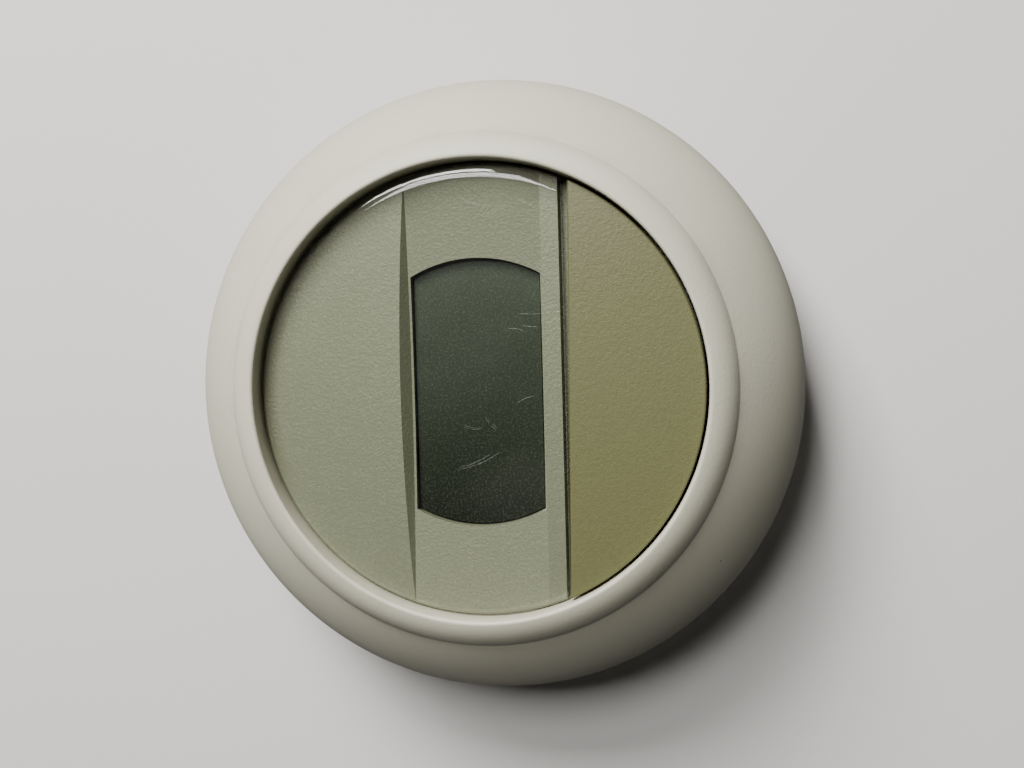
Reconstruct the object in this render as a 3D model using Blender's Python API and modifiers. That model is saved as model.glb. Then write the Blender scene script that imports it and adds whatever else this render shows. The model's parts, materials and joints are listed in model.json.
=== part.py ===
"""Round wall thermostat with a turning outer dial, a clear window and a lift-off segment cover.

The thermostat is modelled lying on its back: X to its right, Y to its top, Z out of the wall.
One empty, turned a quarter turn about X, stands it up, so that in the world the wall is the
plane y = 0, the front faces -Y and +Z is up. The origin is the centre of the back face.
All sizes are in metres.
"""
import math

import bmesh
import bpy

# Clearances
GAP = 0.0003            # between pieces that touch
SLIP = 0.0005           # between pieces that slide or turn

# Wall plate
PLATE_RADIUS = 0.036
PLATE_FLOOR = 0.002
PLATE_HEIGHT = 0.0046
PLATE_RIM = 0.0016
SCREW_SPACING = 0.060
SCREW_SLOT_WIDTH = 0.0045
SCREW_SLOT_LENGTH = 0.007
ENTRY_RADIUS = 0.0075
ENTRY_Y = 0.0125
PRONG_INSET = 0.0044     # from the inside of the rim to the prongs
PRONG_ANGLES = (30, 150, 270)
PRONG_WIDTH = 0.005
PRONG_THICKNESS = 0.0014
BARB_DEPTH = 0.0007
BARB_HEIGHT = 0.0012

# Terminal block on the wall plate
BLOCK_WIDTH = 0.024
BLOCK_DEPTH = 0.011
BLOCK_HEIGHT = 0.0082
BLOCK_RIM_GAP = 0.0053  # from the inside of the rim to the block's corners
TERMINAL_SPACING = 0.0112
CAGE_WIDTH = 0.0052
CAGE_DEPTH = 0.0060
CAGE_HEIGHT = 0.0036
CAGE_WALL = 0.0008
CLAMP_TRAVEL = 0.00125
CLAMP_SCREW_RADIUS = 0.00125
CLAMP_HEAD_RADIUS = 0.0021
CLAMP_HEAD_HEIGHT = 0.0014
WIRE_RADIUS = 0.0012
BLADE_WIDTH = 0.004
BLADE_THICKNESS = 0.0003
BLADE_LENGTH = 0.005
BLADE_RISE = 0.0007
PIN_RADIUS = 0.0008
PIN_SPACING = 0.010

# Rear case of the removable module
CASE_RADIUS = 0.0382
CASE_WALL = 0.0015
CASE_FLOOR = 0.0016
CASE_DEPTH = 0.0086
WELL_WALL = 0.0012
BOARD_RADIUS = 0.034
BOARD_THICKNESS = 0.0016
BOARD_LIFT = 0.0065     # from the case floor to the board
PILLAR_CIRCLE = 0.0235
PILLAR_ANGLES = (90, -40, -140)
REAR_PILLAR_RADIUS = 0.0032
FRONT_PILLAR_RADIUS = 0.0026
CASE_SCREW_RADIUS = 0.0009
CASE_SCREW_HEAD_RADIUS = 0.0019
CASE_SCREW_HEAD_HEIGHT = 0.0013
CASE_SCREW_LENGTH = 0.0125

# Front bezel, lens and segment cover
FACE_RADIUS = 0.0283
FACE_WALL = 0.0016
FACE_PLATE = 0.0028
FACE_TOP = 0.0260       # raised face, from the wall
BAND_DEPTH = 0.0014
FLANGE_RADIUS = 0.0316
FLANGE_HEIGHT = 0.0012
LENS_THICKNESS = 0.0016
LENS_CHORD_Y = -0.0104
SEGMENT_THICKNESS = 0.0015
CLIP_WIDTH = 0.003
CLIP_THICKNESS = 0.0012
CLIP_SPACING = 0.024
CLIP_Y = -0.0175
WINDOW_RADIUS = 0.0170
WINDOW_HALF_HEIGHT = 0.00795
WINDOW_Y = 0.00105
BAND_MARGIN = 0.0003
STEP_SLOPE = 0.0012

# Display
GLASS_WIDTH = 0.0374
GLASS_HEIGHT = 0.0190
GLASS_THICKNESS = 0.0011
CARRIER_WALL = 0.0016
STRIP_WIDTH = 0.0018

# Set-up button
BUTTON_Y = -0.0185
BUTTON_RADIUS = 0.0018
BUTTON_FLANGE_RADIUS = 0.0028
BUTTON_FLANGE_HEIGHT = 0.0007
BUTTON_TRAVEL = 0.0004
SWITCH_SIZE = 0.006
SWITCH_HEIGHT = 0.003

# Dial
DIAL_RADIUS = 0.0415
DIAL_WALL = 0.0018
DIAL_HEM_Z = 0.0056
DIAL_HEM_INSET = 0.0008
WIDEST_Z = 0.0105
CREASE_RADIUS = 0.0331
CREASE_RISE = 0.0154    # from the widest line to the crease
DOME_FULLNESS = 1.8
BEAD_RADIUS = 0.0031
EDGE_RADIUS = 0.0009
OPENING_RADIUS = 0.02887
SLEEVE_WALL = 0.0016
DIAL_PILLAR_ANGLES = (0, 120, 240)
DIAL_PILLAR_RADIUS = 0.0017
DIAL_SCREW_RADIUS = 0.0008
DIAL_SCREW_HEAD_RADIUS = 0.0015
DIAL_SCREW_HEAD_HEIGHT = 0.0008

# Gears
MODULE = 0.001
RING_TEETH = 64
PINION_TEETH = 12
PRESSURE_ANGLE = math.radians(20)
BACKLASH = 0.0003
RING_WALL = 0.00375
LIP_INNER_RADIUS = 0.0294
LIP_HEIGHT = 0.0015
GEAR_HEIGHT = 0.003
PINION_PITCH_STEPS = 12  # place of the pinion, in ring teeth from the X axis
ENCODER_SIZE = 0.011
ENCODER_HEIGHT = 0.0043
SHAFT_RADIUS = 0.0015

ROUND_STEPS = 64

# Places on the wall plate that follow from its rim
PLATE_INSIDE = PLATE_RADIUS - PLATE_RIM
PRONG_CIRCLE = PLATE_INSIDE - PRONG_INSET
BLOCK_Y = BLOCK_DEPTH / 2 - math.sqrt((PLATE_INSIDE - BLOCK_RIM_GAP) ** 2 - (BLOCK_WIDTH / 2) ** 2)

# Heights from the wall that follow from the sizes above
BLOCK_Z = PLATE_FLOOR + GAP
BLOCK_TOP = BLOCK_Z + BLOCK_HEIGHT
CAGE_Z = BLOCK_Z + GAP
POCKET_TOP = CAGE_Z + CAGE_HEIGHT + CLAMP_TRAVEL + GAP
HEAD_SEAT = BLOCK_TOP - CLAMP_HEAD_HEIGHT - 2 * GAP
CASE_Z = PLATE_HEIGHT + GAP
CASE_INSIDE = CASE_Z + CASE_FLOOR
BOARD_Z = CASE_INSIDE + BOARD_LIFT
BOARD_TOP = BOARD_Z + BOARD_THICKNESS
ON_BOARD = BOARD_TOP + GAP
UNDER_BOARD = BOARD_Z - GAP
FACE_UNDERSIDE = FACE_TOP - FACE_PLATE
BAND_Z = FACE_TOP - BAND_DEPTH
COVER_Z = FACE_TOP + GAP
GLASS_TOP = FACE_UNDERSIDE - GAP
GEAR_Z = BOARD_TOP + 0.0007
LIP_Z = GEAR_Z + GEAR_HEIGHT
LIP_TOP = LIP_Z + LIP_HEIGHT
FLANGE_Z = LIP_TOP + SLIP
SLEEVE_Z = FLANGE_Z + FLANGE_HEIGHT + SLIP
CREASE_Z = WIDEST_Z + CREASE_RISE
BEAD_TOP = CREASE_Z + BEAD_RADIUS
RING_PITCH_RADIUS = MODULE * RING_TEETH / 2
PINION_PITCH_RADIUS = MODULE * PINION_TEETH / 2
DIAL_PILLAR_CIRCLE = RING_PITCH_RADIUS + 1.25 * MODULE + RING_WALL / 2
SWITCH_TOP = FACE_UNDERSIDE - GAP - 0.0045


# Scene and objects

def clear_scene():
    for old in list(bpy.data.objects):
        bpy.data.objects.remove(old, do_unlink=True)


def new_collection(name):
    collection = bpy.data.collections.new(name)
    bpy.context.scene.collection.children.link(collection)
    return collection


def new_material(name, colour, roughness, metallic=0.0):
    material = bpy.data.materials.new(name)
    material.use_nodes = True
    shader = material.node_tree.nodes["Principled BSDF"]
    shader.inputs["Base Color"].default_value = (*colour, 1.0)
    shader.inputs["Roughness"].default_value = roughness
    shader.inputs["Metallic"].default_value = metallic
    return material


def add_object(name, mesh, material=None, smooth=False, location=(0, 0, 0)):
    """Link a mesh as a part with a material, or as a cutter without one."""
    item = bpy.data.objects.new(name, mesh)
    item.parent = stand
    item.location = location
    if material is None:
        cutters.objects.link(item)
        item.hide_render = True
        item.display_type = "WIRE"
        return item
    parts.objects.link(item)
    mesh.materials.append(material)
    if smooth:
        mesh.shade_smooth()
        mesh.set_sharp_from_angle(angle=math.radians(35))
    return item


def mesh_from(name, bm):
    mesh = bpy.data.meshes.new(name)
    bm.to_mesh(mesh)
    bm.free()
    return mesh


# Basic shapes: each runs from height z0 to z1

def box(name, x, y, z0, z1, width, depth, material=None, bevel=0.0):
    bm = bmesh.new()
    bmesh.ops.create_cube(bm, size=1.0)
    bmesh.ops.scale(bm, vec=(width, depth, z1 - z0), verts=bm.verts)
    item = add_object(name, mesh_from(name, bm), material, location=(x, y, (z0 + z1) / 2))
    if bevel:
        add_bevel(item, bevel)
    return item


def cylinder(name, x, y, z0, z1, radius, material=None, sides=24, top_radius=None):
    bm = bmesh.new()
    bmesh.ops.create_cone(bm, cap_ends=True, segments=sides, radius1=radius,
                          radius2=radius if top_radius is None else top_radius, depth=z1 - z0)
    return add_object(name, mesh_from(name, bm), material, True, (x, y, (z0 + z1) / 2))


def turned(name, profile, material, closed=True):
    """Turn (radius, height) points about Z. They run outward, then down the outer side."""
    bm = bmesh.new()
    points = [bm.verts.new((radius, 0, height)) for radius, height in profile]
    for first, second in zip(points, points[1:]):
        bm.edges.new((first, second))
    if closed:
        bm.edges.new((points[-1], points[0]))
    item = add_object(name, mesh_from(name, bm), material)
    screw = item.modifiers.new("turn", "SCREW")
    screw.steps = ROUND_STEPS
    screw.render_steps = ROUND_STEPS
    screw.use_merge_vertices = True
    screw.merge_threshold = 0.00001
    screw.use_smooth_shade = True
    return item


def slab(name, outlines, z0, z1, material=None, location=(0, 0, 0)):
    """Raise flat outlines of (x, y) points to a solid; an outline inside another is a hole."""
    curve = bpy.data.curves.new(name, "CURVE")
    curve.dimensions = "2D"
    curve.fill_mode = "BOTH"
    curve.extrude = (z1 - z0) / 2
    for outline in outlines:
        spline = curve.splines.new("POLY")
        spline.points.add(len(outline) - 1)
        for point, (x, y) in zip(spline.points, outline):
            point.co = (x, y, 0, 1)
        spline.use_cyclic_u = True
    holder = bpy.data.objects.new(name + "_outline", curve)
    bpy.context.scene.collection.objects.link(holder)
    evaluated = holder.evaluated_get(bpy.context.evaluated_depsgraph_get())
    mesh = bpy.data.meshes.new_from_object(evaluated)
    bpy.data.objects.remove(holder, do_unlink=True)
    bm = bmesh.new()
    bm.from_mesh(mesh)
    bmesh.ops.remove_doubles(bm, verts=bm.verts, dist=0.000001)
    bmesh.ops.recalc_face_normals(bm, faces=bm.faces)
    bm.to_mesh(mesh)
    bm.free()
    mesh.name = name
    x, y, z = location
    return add_object(name, mesh, material, location=(x, y, z + (z0 + z1) / 2))


def side_prism(name, outline, width, material=None, x=0.0):
    """Raise an outline of (y, height) points along X, centred on x."""
    item = slab(name, [outline], -width / 2, width / 2, material)
    item.rotation_euler = (math.pi / 2, 0, math.pi / 2)
    item.location = (x, 0, 0)
    return item


def add_bevel(item, width, segments=2):
    bevel = item.modifiers.new("edges", "BEVEL")
    bevel.width = width
    bevel.segments = segments
    bevel.limit_method = "ANGLE"


def boolean(item, tool, operation):
    modifier = item.modifiers.new(operation.lower(), "BOOLEAN")
    modifier.operation = operation
    modifier.object = tool
    modifier.solver = "EXACT"


def cut(item, *tools):
    for tool in tools:
        boolean(item, tool, "DIFFERENCE")


def join(item, *tools):
    for tool in tools:
        boolean(item, tool, "UNION")


def ring_places(circle, angles):
    return [(circle * math.cos(math.radians(a)), circle * math.sin(math.radians(a))) for a in angles]


def arc(x, y, radius, start, end, steps):
    """Points of an arc about (x, y), with angles in degrees."""
    angles = [math.radians(start + (end - start) * i / steps) for i in range(steps + 1)]
    return [(x + radius * math.cos(a), y + radius * math.sin(a)) for a in angles]


def disc_above(radius, chord_y, steps=60):
    """Outline of a disc without what lies below a chord."""
    start = math.degrees(math.asin(chord_y / radius))
    return arc(0, 0, radius, start, 180 - start, steps)


def disc_below(radius, chord_y, steps=36):
    start = math.degrees(math.asin(chord_y / radius))
    return arc(0, 0, radius, -180 - start, start, steps)


# Wall plate and terminals

def make_wall_plate():
    plate = turned("wall_plate", [
        (0, PLATE_FLOOR), (PLATE_INSIDE, PLATE_FLOOR), (PLATE_INSIDE, PLATE_HEIGHT),
        (PLATE_RADIUS, PLATE_HEIGHT), (PLATE_RADIUS, 0), (0, 0)], white_plastic, closed=False)
    below, above = -0.001, PLATE_FLOOR + 0.001
    cut(plate, cylinder("cut_wire_entry", 0, ENTRY_Y, below, above, ENTRY_RADIUS, sides=32))
    half_run = (SCREW_SLOT_LENGTH - SCREW_SLOT_WIDTH) / 2
    for side, upright in ((-1, True), (1, False)):
        radius = SCREW_SLOT_WIDTH / 2
        outline = arc(half_run, 0, radius, -90, 90, 10) + arc(-half_run, 0, radius, 90, 270, 10)
        slot = slab("cut_screw_slot", [outline], below, above, location=(side * SCREW_SPACING / 2, 0, 0))
        if upright:
            slot.rotation_euler = (0, 0, math.pi / 2)
        cut(plate, slot)
    top = CASE_INSIDE + SLIP + BARB_HEIGHT
    for angle, (x, y) in zip(PRONG_ANGLES, ring_places(PRONG_CIRCLE, PRONG_ANGLES)):
        outline = [(-PRONG_THICKNESS / 2, PLATE_FLOOR / 2), (PRONG_THICKNESS / 2, PLATE_FLOOR / 2),
                   (PRONG_THICKNESS / 2, top - BARB_HEIGHT),
                   (PRONG_THICKNESS / 2 + BARB_DEPTH, top - BARB_HEIGHT),
                   (PRONG_THICKNESS / 2, top), (-PRONG_THICKNESS / 2, top)]
        prong = slab("add_prong", [outline], -PRONG_WIDTH / 2, PRONG_WIDTH / 2)
        prong.rotation_euler = (math.pi / 2, 0, math.radians(angle))
        prong.location = (x, y, 0)
        join(plate, prong)


def make_terminal_block():
    block = box("terminal_block", 0, BLOCK_Y, BLOCK_Z, BLOCK_TOP, BLOCK_WIDTH, BLOCK_DEPTH, dark_plastic)
    for side in (-1, 1):
        x = side * TERMINAL_SPACING / 2
        pocket = box("cut_pocket", x, BLOCK_Y, BLOCK_Z - 0.001, POCKET_TOP,
                     CAGE_WIDTH + 2 * SLIP, CAGE_DEPTH + 2 * SLIP)
        passage = cylinder("cut_shank", x, BLOCK_Y, POCKET_TOP - 0.001, BLOCK_TOP, CLAMP_SCREW_RADIUS + GAP)
        seat = cylinder("cut_head", x, BLOCK_Y, HEAD_SEAT, BLOCK_TOP + 0.001, CLAMP_HEAD_RADIUS + GAP)
        funnel = cylinder("cut_wire", x, BLOCK_Y + BLOCK_DEPTH / 2, -0.003, 0.003, WIRE_RADIUS + 0.0005)
        funnel.rotation_euler = (math.pi / 2, 0, 0)
        funnel.location.z = CAGE_Z + CAGE_HEIGHT / 2
        cut(block, pocket, passage, seat, funnel)


def make_terminals():
    for number, side in enumerate((-1, 1), start=1):
        x = side * TERMINAL_SPACING / 2
        cage = box(f"terminal_cage_{number}", x, BLOCK_Y, CAGE_Z, CAGE_Z + CAGE_HEIGHT,
                   CAGE_WIDTH, CAGE_DEPTH, brass)
        window_top = CAGE_Z + CAGE_HEIGHT - 1.5 * CAGE_WALL
        window = box("cut_cage_window", x, BLOCK_Y, CAGE_Z + CAGE_WALL, window_top,
                     CAGE_WIDTH - 2 * CAGE_WALL, CAGE_DEPTH + 0.002)
        thread = cylinder("cut_cage_thread", x, BLOCK_Y, window_top - 0.0005, CAGE_Z + CAGE_HEIGHT + 0.001,
                          CLAMP_SCREW_RADIUS + GAP)
        cut(cage, window, thread)
        screw = cylinder(f"terminal_screw_{number}", x, BLOCK_Y, HEAD_SEAT + GAP,
                         HEAD_SEAT + GAP + CLAMP_HEAD_HEIGHT, CLAMP_HEAD_RADIUS, steel, sides=32)
        shank = cylinder("add_shank", x, BLOCK_Y, window_top + GAP, HEAD_SEAT + 2 * GAP, CLAMP_SCREW_RADIUS)
        slot_floor = HEAD_SEAT + GAP + CLAMP_HEAD_HEIGHT / 2
        slot = box("cut_slot", x, BLOCK_Y, slot_floor, slot_floor + CLAMP_HEAD_HEIGHT,
                   3 * CLAMP_HEAD_RADIUS, 0.0006)
        join(screw, shank)
        cut(screw, slot)


def make_contacts():
    """Sprung blades beside the block, under the pins of the module."""
    edge = BLOCK_Y + BLOCK_DEPTH / 2 + GAP
    low = PLATE_FLOOR + GAP
    pin_y = contact_y()
    for number, side in enumerate((-1, 1), start=1):
        x = side * PIN_SPACING / 2
        path = [(edge, low), (edge + BLADE_LENGTH * 0.25, low), (pin_y, low + BLADE_RISE),
                (edge + BLADE_LENGTH, low + BLADE_RISE / 2)]
        outline = path + [(y, z + BLADE_THICKNESS) for y, z in reversed(path)]
        side_prism(f"contact_blade_{number}", outline, BLADE_WIDTH, brass, x)
        blade_top = low + BLADE_RISE + BLADE_THICKNESS
        cylinder(f"contact_pin_{number}", x, pin_y, blade_top + GAP, UNDER_BOARD, PIN_RADIUS, brass, sides=16)


def contact_y():
    return BLOCK_Y + BLOCK_DEPTH / 2 + SLIP + WELL_WALL + 0.0025


# Module: rear case, board and what the board carries

def make_rear_case():
    outer = CASE_RADIUS
    inner = CASE_RADIUS - CASE_WALL
    case = turned("rear_case", [
        (0, CASE_INSIDE), (inner, CASE_INSIDE), (inner, CASE_Z + CASE_DEPTH),
        (outer, CASE_Z + CASE_DEPTH), (outer, CASE_Z), (0, CASE_Z)], white_plastic, closed=False)
    well_top = BLOCK_TOP + SLIP + WELL_WALL
    well_width = BLOCK_WIDTH + 2 * SLIP
    well_depth = BLOCK_DEPTH + 2 * SLIP
    join(case, box("add_well", 0, BLOCK_Y, CASE_Z + CASE_FLOOR / 2, well_top,
                   well_width + 2 * WELL_WALL, well_depth + 2 * WELL_WALL))
    for x, y in ring_places(PILLAR_CIRCLE, PILLAR_ANGLES):
        join(case, cylinder("add_rear_pillar", x, y, CASE_Z + CASE_FLOOR / 2, UNDER_BOARD,
                            REAR_PILLAR_RADIUS))
    cut(case, box("cut_well", 0, BLOCK_Y, CASE_Z - 0.001, BLOCK_TOP + SLIP, well_width, well_depth))
    for x, y in ring_places(PILLAR_CIRCLE, PILLAR_ANGLES):
        cut(case,
            cylinder("cut_head_bore", x, y, CASE_Z - 0.001, screw_seat(), CASE_SCREW_HEAD_RADIUS + GAP),
            cylinder("cut_screw_bore", x, y, CASE_Z, BOARD_Z + 0.001, CASE_SCREW_RADIUS + GAP))
    for angle, (x, y) in zip(PRONG_ANGLES, ring_places(PRONG_CIRCLE + BARB_DEPTH / 2, PRONG_ANGLES)):
        hole = box("cut_prong_hole", x, y, CASE_Z - 0.001, CASE_INSIDE + 0.001,
                   PRONG_THICKNESS + BARB_DEPTH + 2 * SLIP, PRONG_WIDTH + 2 * SLIP)
        hole.rotation_euler = (0, 0, math.radians(angle))
        cut(case, hole)
    for side in (-1, 1):
        cut(case, cylinder("cut_pin_hole", side * PIN_SPACING / 2, contact_y(), CASE_Z - 0.001,
                           CASE_INSIDE + 0.001, PIN_RADIUS + SLIP, sides=16))


def screw_seat():
    return CASE_Z + CASE_SCREW_HEAD_HEIGHT + 0.0018


def make_case_screws():
    for number, (x, y) in enumerate(ring_places(PILLAR_CIRCLE, PILLAR_ANGLES), start=1):
        seat = screw_seat() - GAP
        screw = cylinder(f"case_screw_{number}", x, y, seat - CASE_SCREW_HEAD_HEIGHT, seat,
                         CASE_SCREW_HEAD_RADIUS, steel)
        join(screw, cylinder("add_case_shank", x, y, seat - GAP, seat + CASE_SCREW_LENGTH, CASE_SCREW_RADIUS))
        cut(screw, box("cut_cross_a", x, y, 0, seat - CASE_SCREW_HEAD_HEIGHT / 2, 0.0022, 0.0005),
            box("cut_cross_b", x, y, 0, seat - CASE_SCREW_HEAD_HEIGHT / 2, 0.0005, 0.0022))


def pinion_place():
    angle = 2 * math.pi * PINION_PITCH_STEPS / RING_TEETH
    distance = RING_PITCH_RADIUS - PINION_PITCH_RADIUS
    return distance * math.cos(angle), distance * math.sin(angle), angle


def make_board():
    board = cylinder("circuit_board", 0, 0, BOARD_Z, BOARD_TOP, BOARD_RADIUS, board_green, sides=ROUND_STEPS)
    below, above = BOARD_Z - 0.001, BOARD_TOP + 0.001
    for x, y in ring_places(PILLAR_CIRCLE, PILLAR_ANGLES):
        cut(board, cylinder("cut_board_hole", x, y, below, above, CASE_SCREW_RADIUS + SLIP, sides=16))
    x, y, angle = pinion_place()
    cut(board, cylinder("cut_shaft_hole", x, y, below, above, SHAFT_RADIUS + SLIP, sides=20))
    box("encoder_body", x, y, UNDER_BOARD - ENCODER_HEIGHT, UNDER_BOARD, ENCODER_SIZE, ENCODER_SIZE,
        dark_plastic, 0.0004)
    box("microcontroller", -0.0065, 0.0168, ON_BOARD, ON_BOARD + 0.0014, 0.007, 0.007, chip_black, 0.0002)
    box("line_interface", -0.009, -0.0155, ON_BOARD, ON_BOARD + 0.0012, 0.005, 0.004, chip_black, 0.0002)
    cylinder("capacitor", -0.0242, -0.004, ON_BOARD, ON_BOARD + 0.0046, 0.0025, capacitor_blue)
    cylinder("temperature_sensor", -0.008, -0.0278, ON_BOARD, ON_BOARD + 0.0026, 0.0011, sensor_black,
             sides=16, top_radius=0.0007)


def make_button():
    board_seat = ON_BOARD
    switch = box("button_switch", 0, BUTTON_Y, board_seat, board_seat + SWITCH_HEIGHT,
                 SWITCH_SIZE, SWITCH_SIZE, dark_plastic)
    join(switch, cylinder("add_plunger", 0, BUTTON_Y, board_seat + SWITCH_HEIGHT / 2, SWITCH_TOP,
                          BUTTON_RADIUS))
    stem_foot = SWITCH_TOP + BUTTON_TRAVEL + GAP
    flange_top = FACE_UNDERSIDE - GAP
    button = cylinder("set_button", 0, BUTTON_Y, stem_foot, FACE_TOP - GAP, BUTTON_RADIUS, grey_plastic)
    join(button, cylinder("add_button_flange", 0, BUTTON_Y, flange_top - BUTTON_FLANGE_HEIGHT, flange_top,
                          BUTTON_FLANGE_RADIUS))


def make_display():
    front_z = GLASS_TOP - GLASS_THICKNESS
    rear_top = front_z - GAP
    rear_z = rear_top - GLASS_THICKNESS
    box("display_glass", 0, WINDOW_Y, front_z, GLASS_TOP, GLASS_WIDTH, GLASS_HEIGHT, display_grey)
    box("display_rear_glass", 0, WINDOW_Y, rear_z, rear_top, GLASS_WIDTH, GLASS_HEIGHT, display_grey)
    inner_width = GLASS_WIDTH + 2 * GAP
    inner_height = GLASS_HEIGHT + 2 * GAP
    carrier = box("display_carrier", 0, WINDOW_Y, ON_BOARD, GLASS_TOP, inner_width + 2 * CARRIER_WALL,
                  inner_height + 2 * CARRIER_WALL, white_plastic)
    cut(carrier, box("cut_carrier", 0, WINDOW_Y, ON_BOARD - 0.001, GLASS_TOP + 0.001,
                     inner_width, inner_height))
    for name, side in (("upper_contact_strip", 1), ("lower_contact_strip", -1)):
        y = WINDOW_Y + side * (GLASS_HEIGHT - STRIP_WIDTH) / 2
        box(name, 0, y, ON_BOARD, rear_z - GAP, GLASS_WIDTH * 0.9, STRIP_WIDTH, strip_rubber)
    box("light_guide", 0, WINDOW_Y, ON_BOARD, rear_z - GAP, GLASS_WIDTH,
        GLASS_HEIGHT - 2 * STRIP_WIDTH - 2 * GAP, milky_plastic)


# Front: bezel, lens and segment cover

def window_outline():
    """Straight above and below, round at both ends."""
    angle = math.degrees(math.asin(WINDOW_HALF_HEIGHT / WINDOW_RADIUS))
    right = arc(0, WINDOW_Y, WINDOW_RADIUS, -angle, angle, 14)
    return right + [(-x, y) for x, y in reversed(right)]


def make_front_bezel():
    inner = FACE_RADIUS - FACE_WALL
    bezel = turned("front_bezel", [
        (0, FACE_TOP), (FACE_RADIUS - GAP, FACE_TOP), (FACE_RADIUS, FACE_TOP - GAP),
        (FACE_RADIUS, FLANGE_Z + FLANGE_HEIGHT), (FLANGE_RADIUS, FLANGE_Z + FLANGE_HEIGHT),
        (FLANGE_RADIUS, FLANGE_Z), (inner, FLANGE_Z), (inner, FACE_UNDERSIDE), (0, FACE_UNDERSIDE)],
        face_grey, closed=False)
    for x, y in ring_places(PILLAR_CIRCLE, PILLAR_ANGLES):
        join(bezel, cylinder("add_front_pillar", x, y, ON_BOARD, FACE_UNDERSIDE + FACE_PLATE / 3,
                             FRONT_PILLAR_RADIUS))
    for x, y in ring_places(PILLAR_CIRCLE, PILLAR_ANGLES):
        cut(bezel, cylinder("cut_front_bore", x, y, ON_BOARD - 0.001, screw_seat() + CASE_SCREW_LENGTH + GAP,
                            CASE_SCREW_RADIUS + GAP, sides=16))
    low = WINDOW_Y - WINDOW_HALF_HEIGHT - BAND_MARGIN
    high = WINDOW_Y + WINDOW_HALF_HEIGHT + BAND_MARGIN
    above = FACE_TOP + 0.001
    slope_end = high + STEP_SLOPE * (above - BAND_Z) / BAND_DEPTH
    cut(bezel, side_prism("cut_band", [(low, BAND_Z), (high, BAND_Z), (slope_end, above), (low, above)],
                          2.2 * FACE_RADIUS))
    cut(bezel, slab("cut_window", [window_outline()], FACE_UNDERSIDE - 0.001, above))
    cut(bezel, cylinder("cut_button_hole", 0, BUTTON_Y, FACE_UNDERSIDE - 0.001, above, BUTTON_RADIUS + SLIP))
    for side in (-1, 1):
        cut(bezel, box("cut_clip_hole", side * CLIP_SPACING / 2, CLIP_Y, FACE_UNDERSIDE - 0.001, above,
                       CLIP_WIDTH + 2 * SLIP, CLIP_THICKNESS + 2 * SLIP))


def make_clear_lens():
    lens = slab("clear_lens", [disc_above(FACE_RADIUS - GAP, LENS_CHORD_Y)],
                COVER_Z, COVER_Z + LENS_THICKNESS, clear_plastic)
    add_bevel(lens, 0.0004)


def make_segment_cover():
    chord = LENS_CHORD_Y - GAP
    cover = slab("segment_cover", [disc_below(FACE_RADIUS - GAP, chord)],
                 COVER_Z, COVER_Z + SEGMENT_THICKNESS, beige_plastic)
    for side in (-1, 1):
        join(cover, box("add_clip", side * CLIP_SPACING / 2, CLIP_Y, FACE_UNDERSIDE - 0.0005,
                        COVER_Z + SEGMENT_THICKNESS / 2, CLIP_WIDTH, CLIP_THICKNESS))


# Dial

def dome_height(radius, inset=0.0):
    """Height of the dome at a radius, or of its inside when inset by the wall."""
    across = (radius - CREASE_RADIUS) / (DIAL_RADIUS - CREASE_RADIUS - inset)
    share = max(0.0, 1 - across ** DOME_FULLNESS) ** (1 / DOME_FULLNESS)
    return WIDEST_Z + (CREASE_RISE - inset) * share


def dome_points(inset, steps):
    """From the crease down to the widest line, evenly spread in angle."""
    points = []
    for i in range(steps + 1):
        t = math.pi / 2 * i / steps
        across = math.sin(t) ** (2 / DOME_FULLNESS)
        up = math.cos(t) ** (2 / DOME_FULLNESS) if i < steps else 0.0
        points.append((CREASE_RADIUS + (DIAL_RADIUS - CREASE_RADIUS - inset) * across,
                       WIDEST_Z + (CREASE_RISE - inset) * up))
    return points


def hem_points(inset, steps):
    """From the widest line in to the bottom edge."""
    drop = WIDEST_Z - DIAL_HEM_Z
    return [(DIAL_RADIUS - inset - DIAL_HEM_INSET * (i / steps) ** 2, WIDEST_Z - drop * i / steps)
            for i in range(1, steps + 1)]


def make_dial_ring():
    bead_centre = CREASE_RADIUS - BEAD_RADIUS
    edge_centre = OPENING_RADIUS + EDGE_RADIUS
    sleeve = OPENING_RADIUS + SLEEVE_WALL
    outside = arc(edge_centre, BEAD_TOP - EDGE_RADIUS, EDGE_RADIUS, 180, 90, 3)
    outside += arc(bead_centre, CREASE_Z, BEAD_RADIUS, 90, 8, 6)
    outside += dome_points(0, 10)[1:]
    outside += hem_points(0, 3)
    inside = list(reversed(hem_points(DIAL_WALL, 3)))
    inside += list(reversed(dome_points(DIAL_WALL, 5)))
    inside += [(sleeve, CREASE_Z - DIAL_WALL), (sleeve, SLEEVE_Z), (OPENING_RADIUS, SLEEVE_Z)]
    dial = turned("dial_ring", outside + inside, dial_white)
    pillar_foot = LIP_TOP + GAP
    for x, y in ring_places(DIAL_PILLAR_CIRCLE, DIAL_PILLAR_ANGLES):
        crown = dome_height(DIAL_PILLAR_CIRCLE + DIAL_PILLAR_RADIUS) - GAP
        join(dial, cylinder("add_dial_pillar", x, y, pillar_foot, crown, DIAL_PILLAR_RADIUS, sides=16))
    for x, y in ring_places(DIAL_PILLAR_CIRCLE, DIAL_PILLAR_ANGLES):
        cut(dial, cylinder("cut_dial_bore", x, y, pillar_foot - 0.001, dial_screw_tip() + GAP,
                           DIAL_SCREW_RADIUS + GAP, sides=12))


def dial_screw_tip():
    return LIP_TOP + GAP + 0.0022


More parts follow.
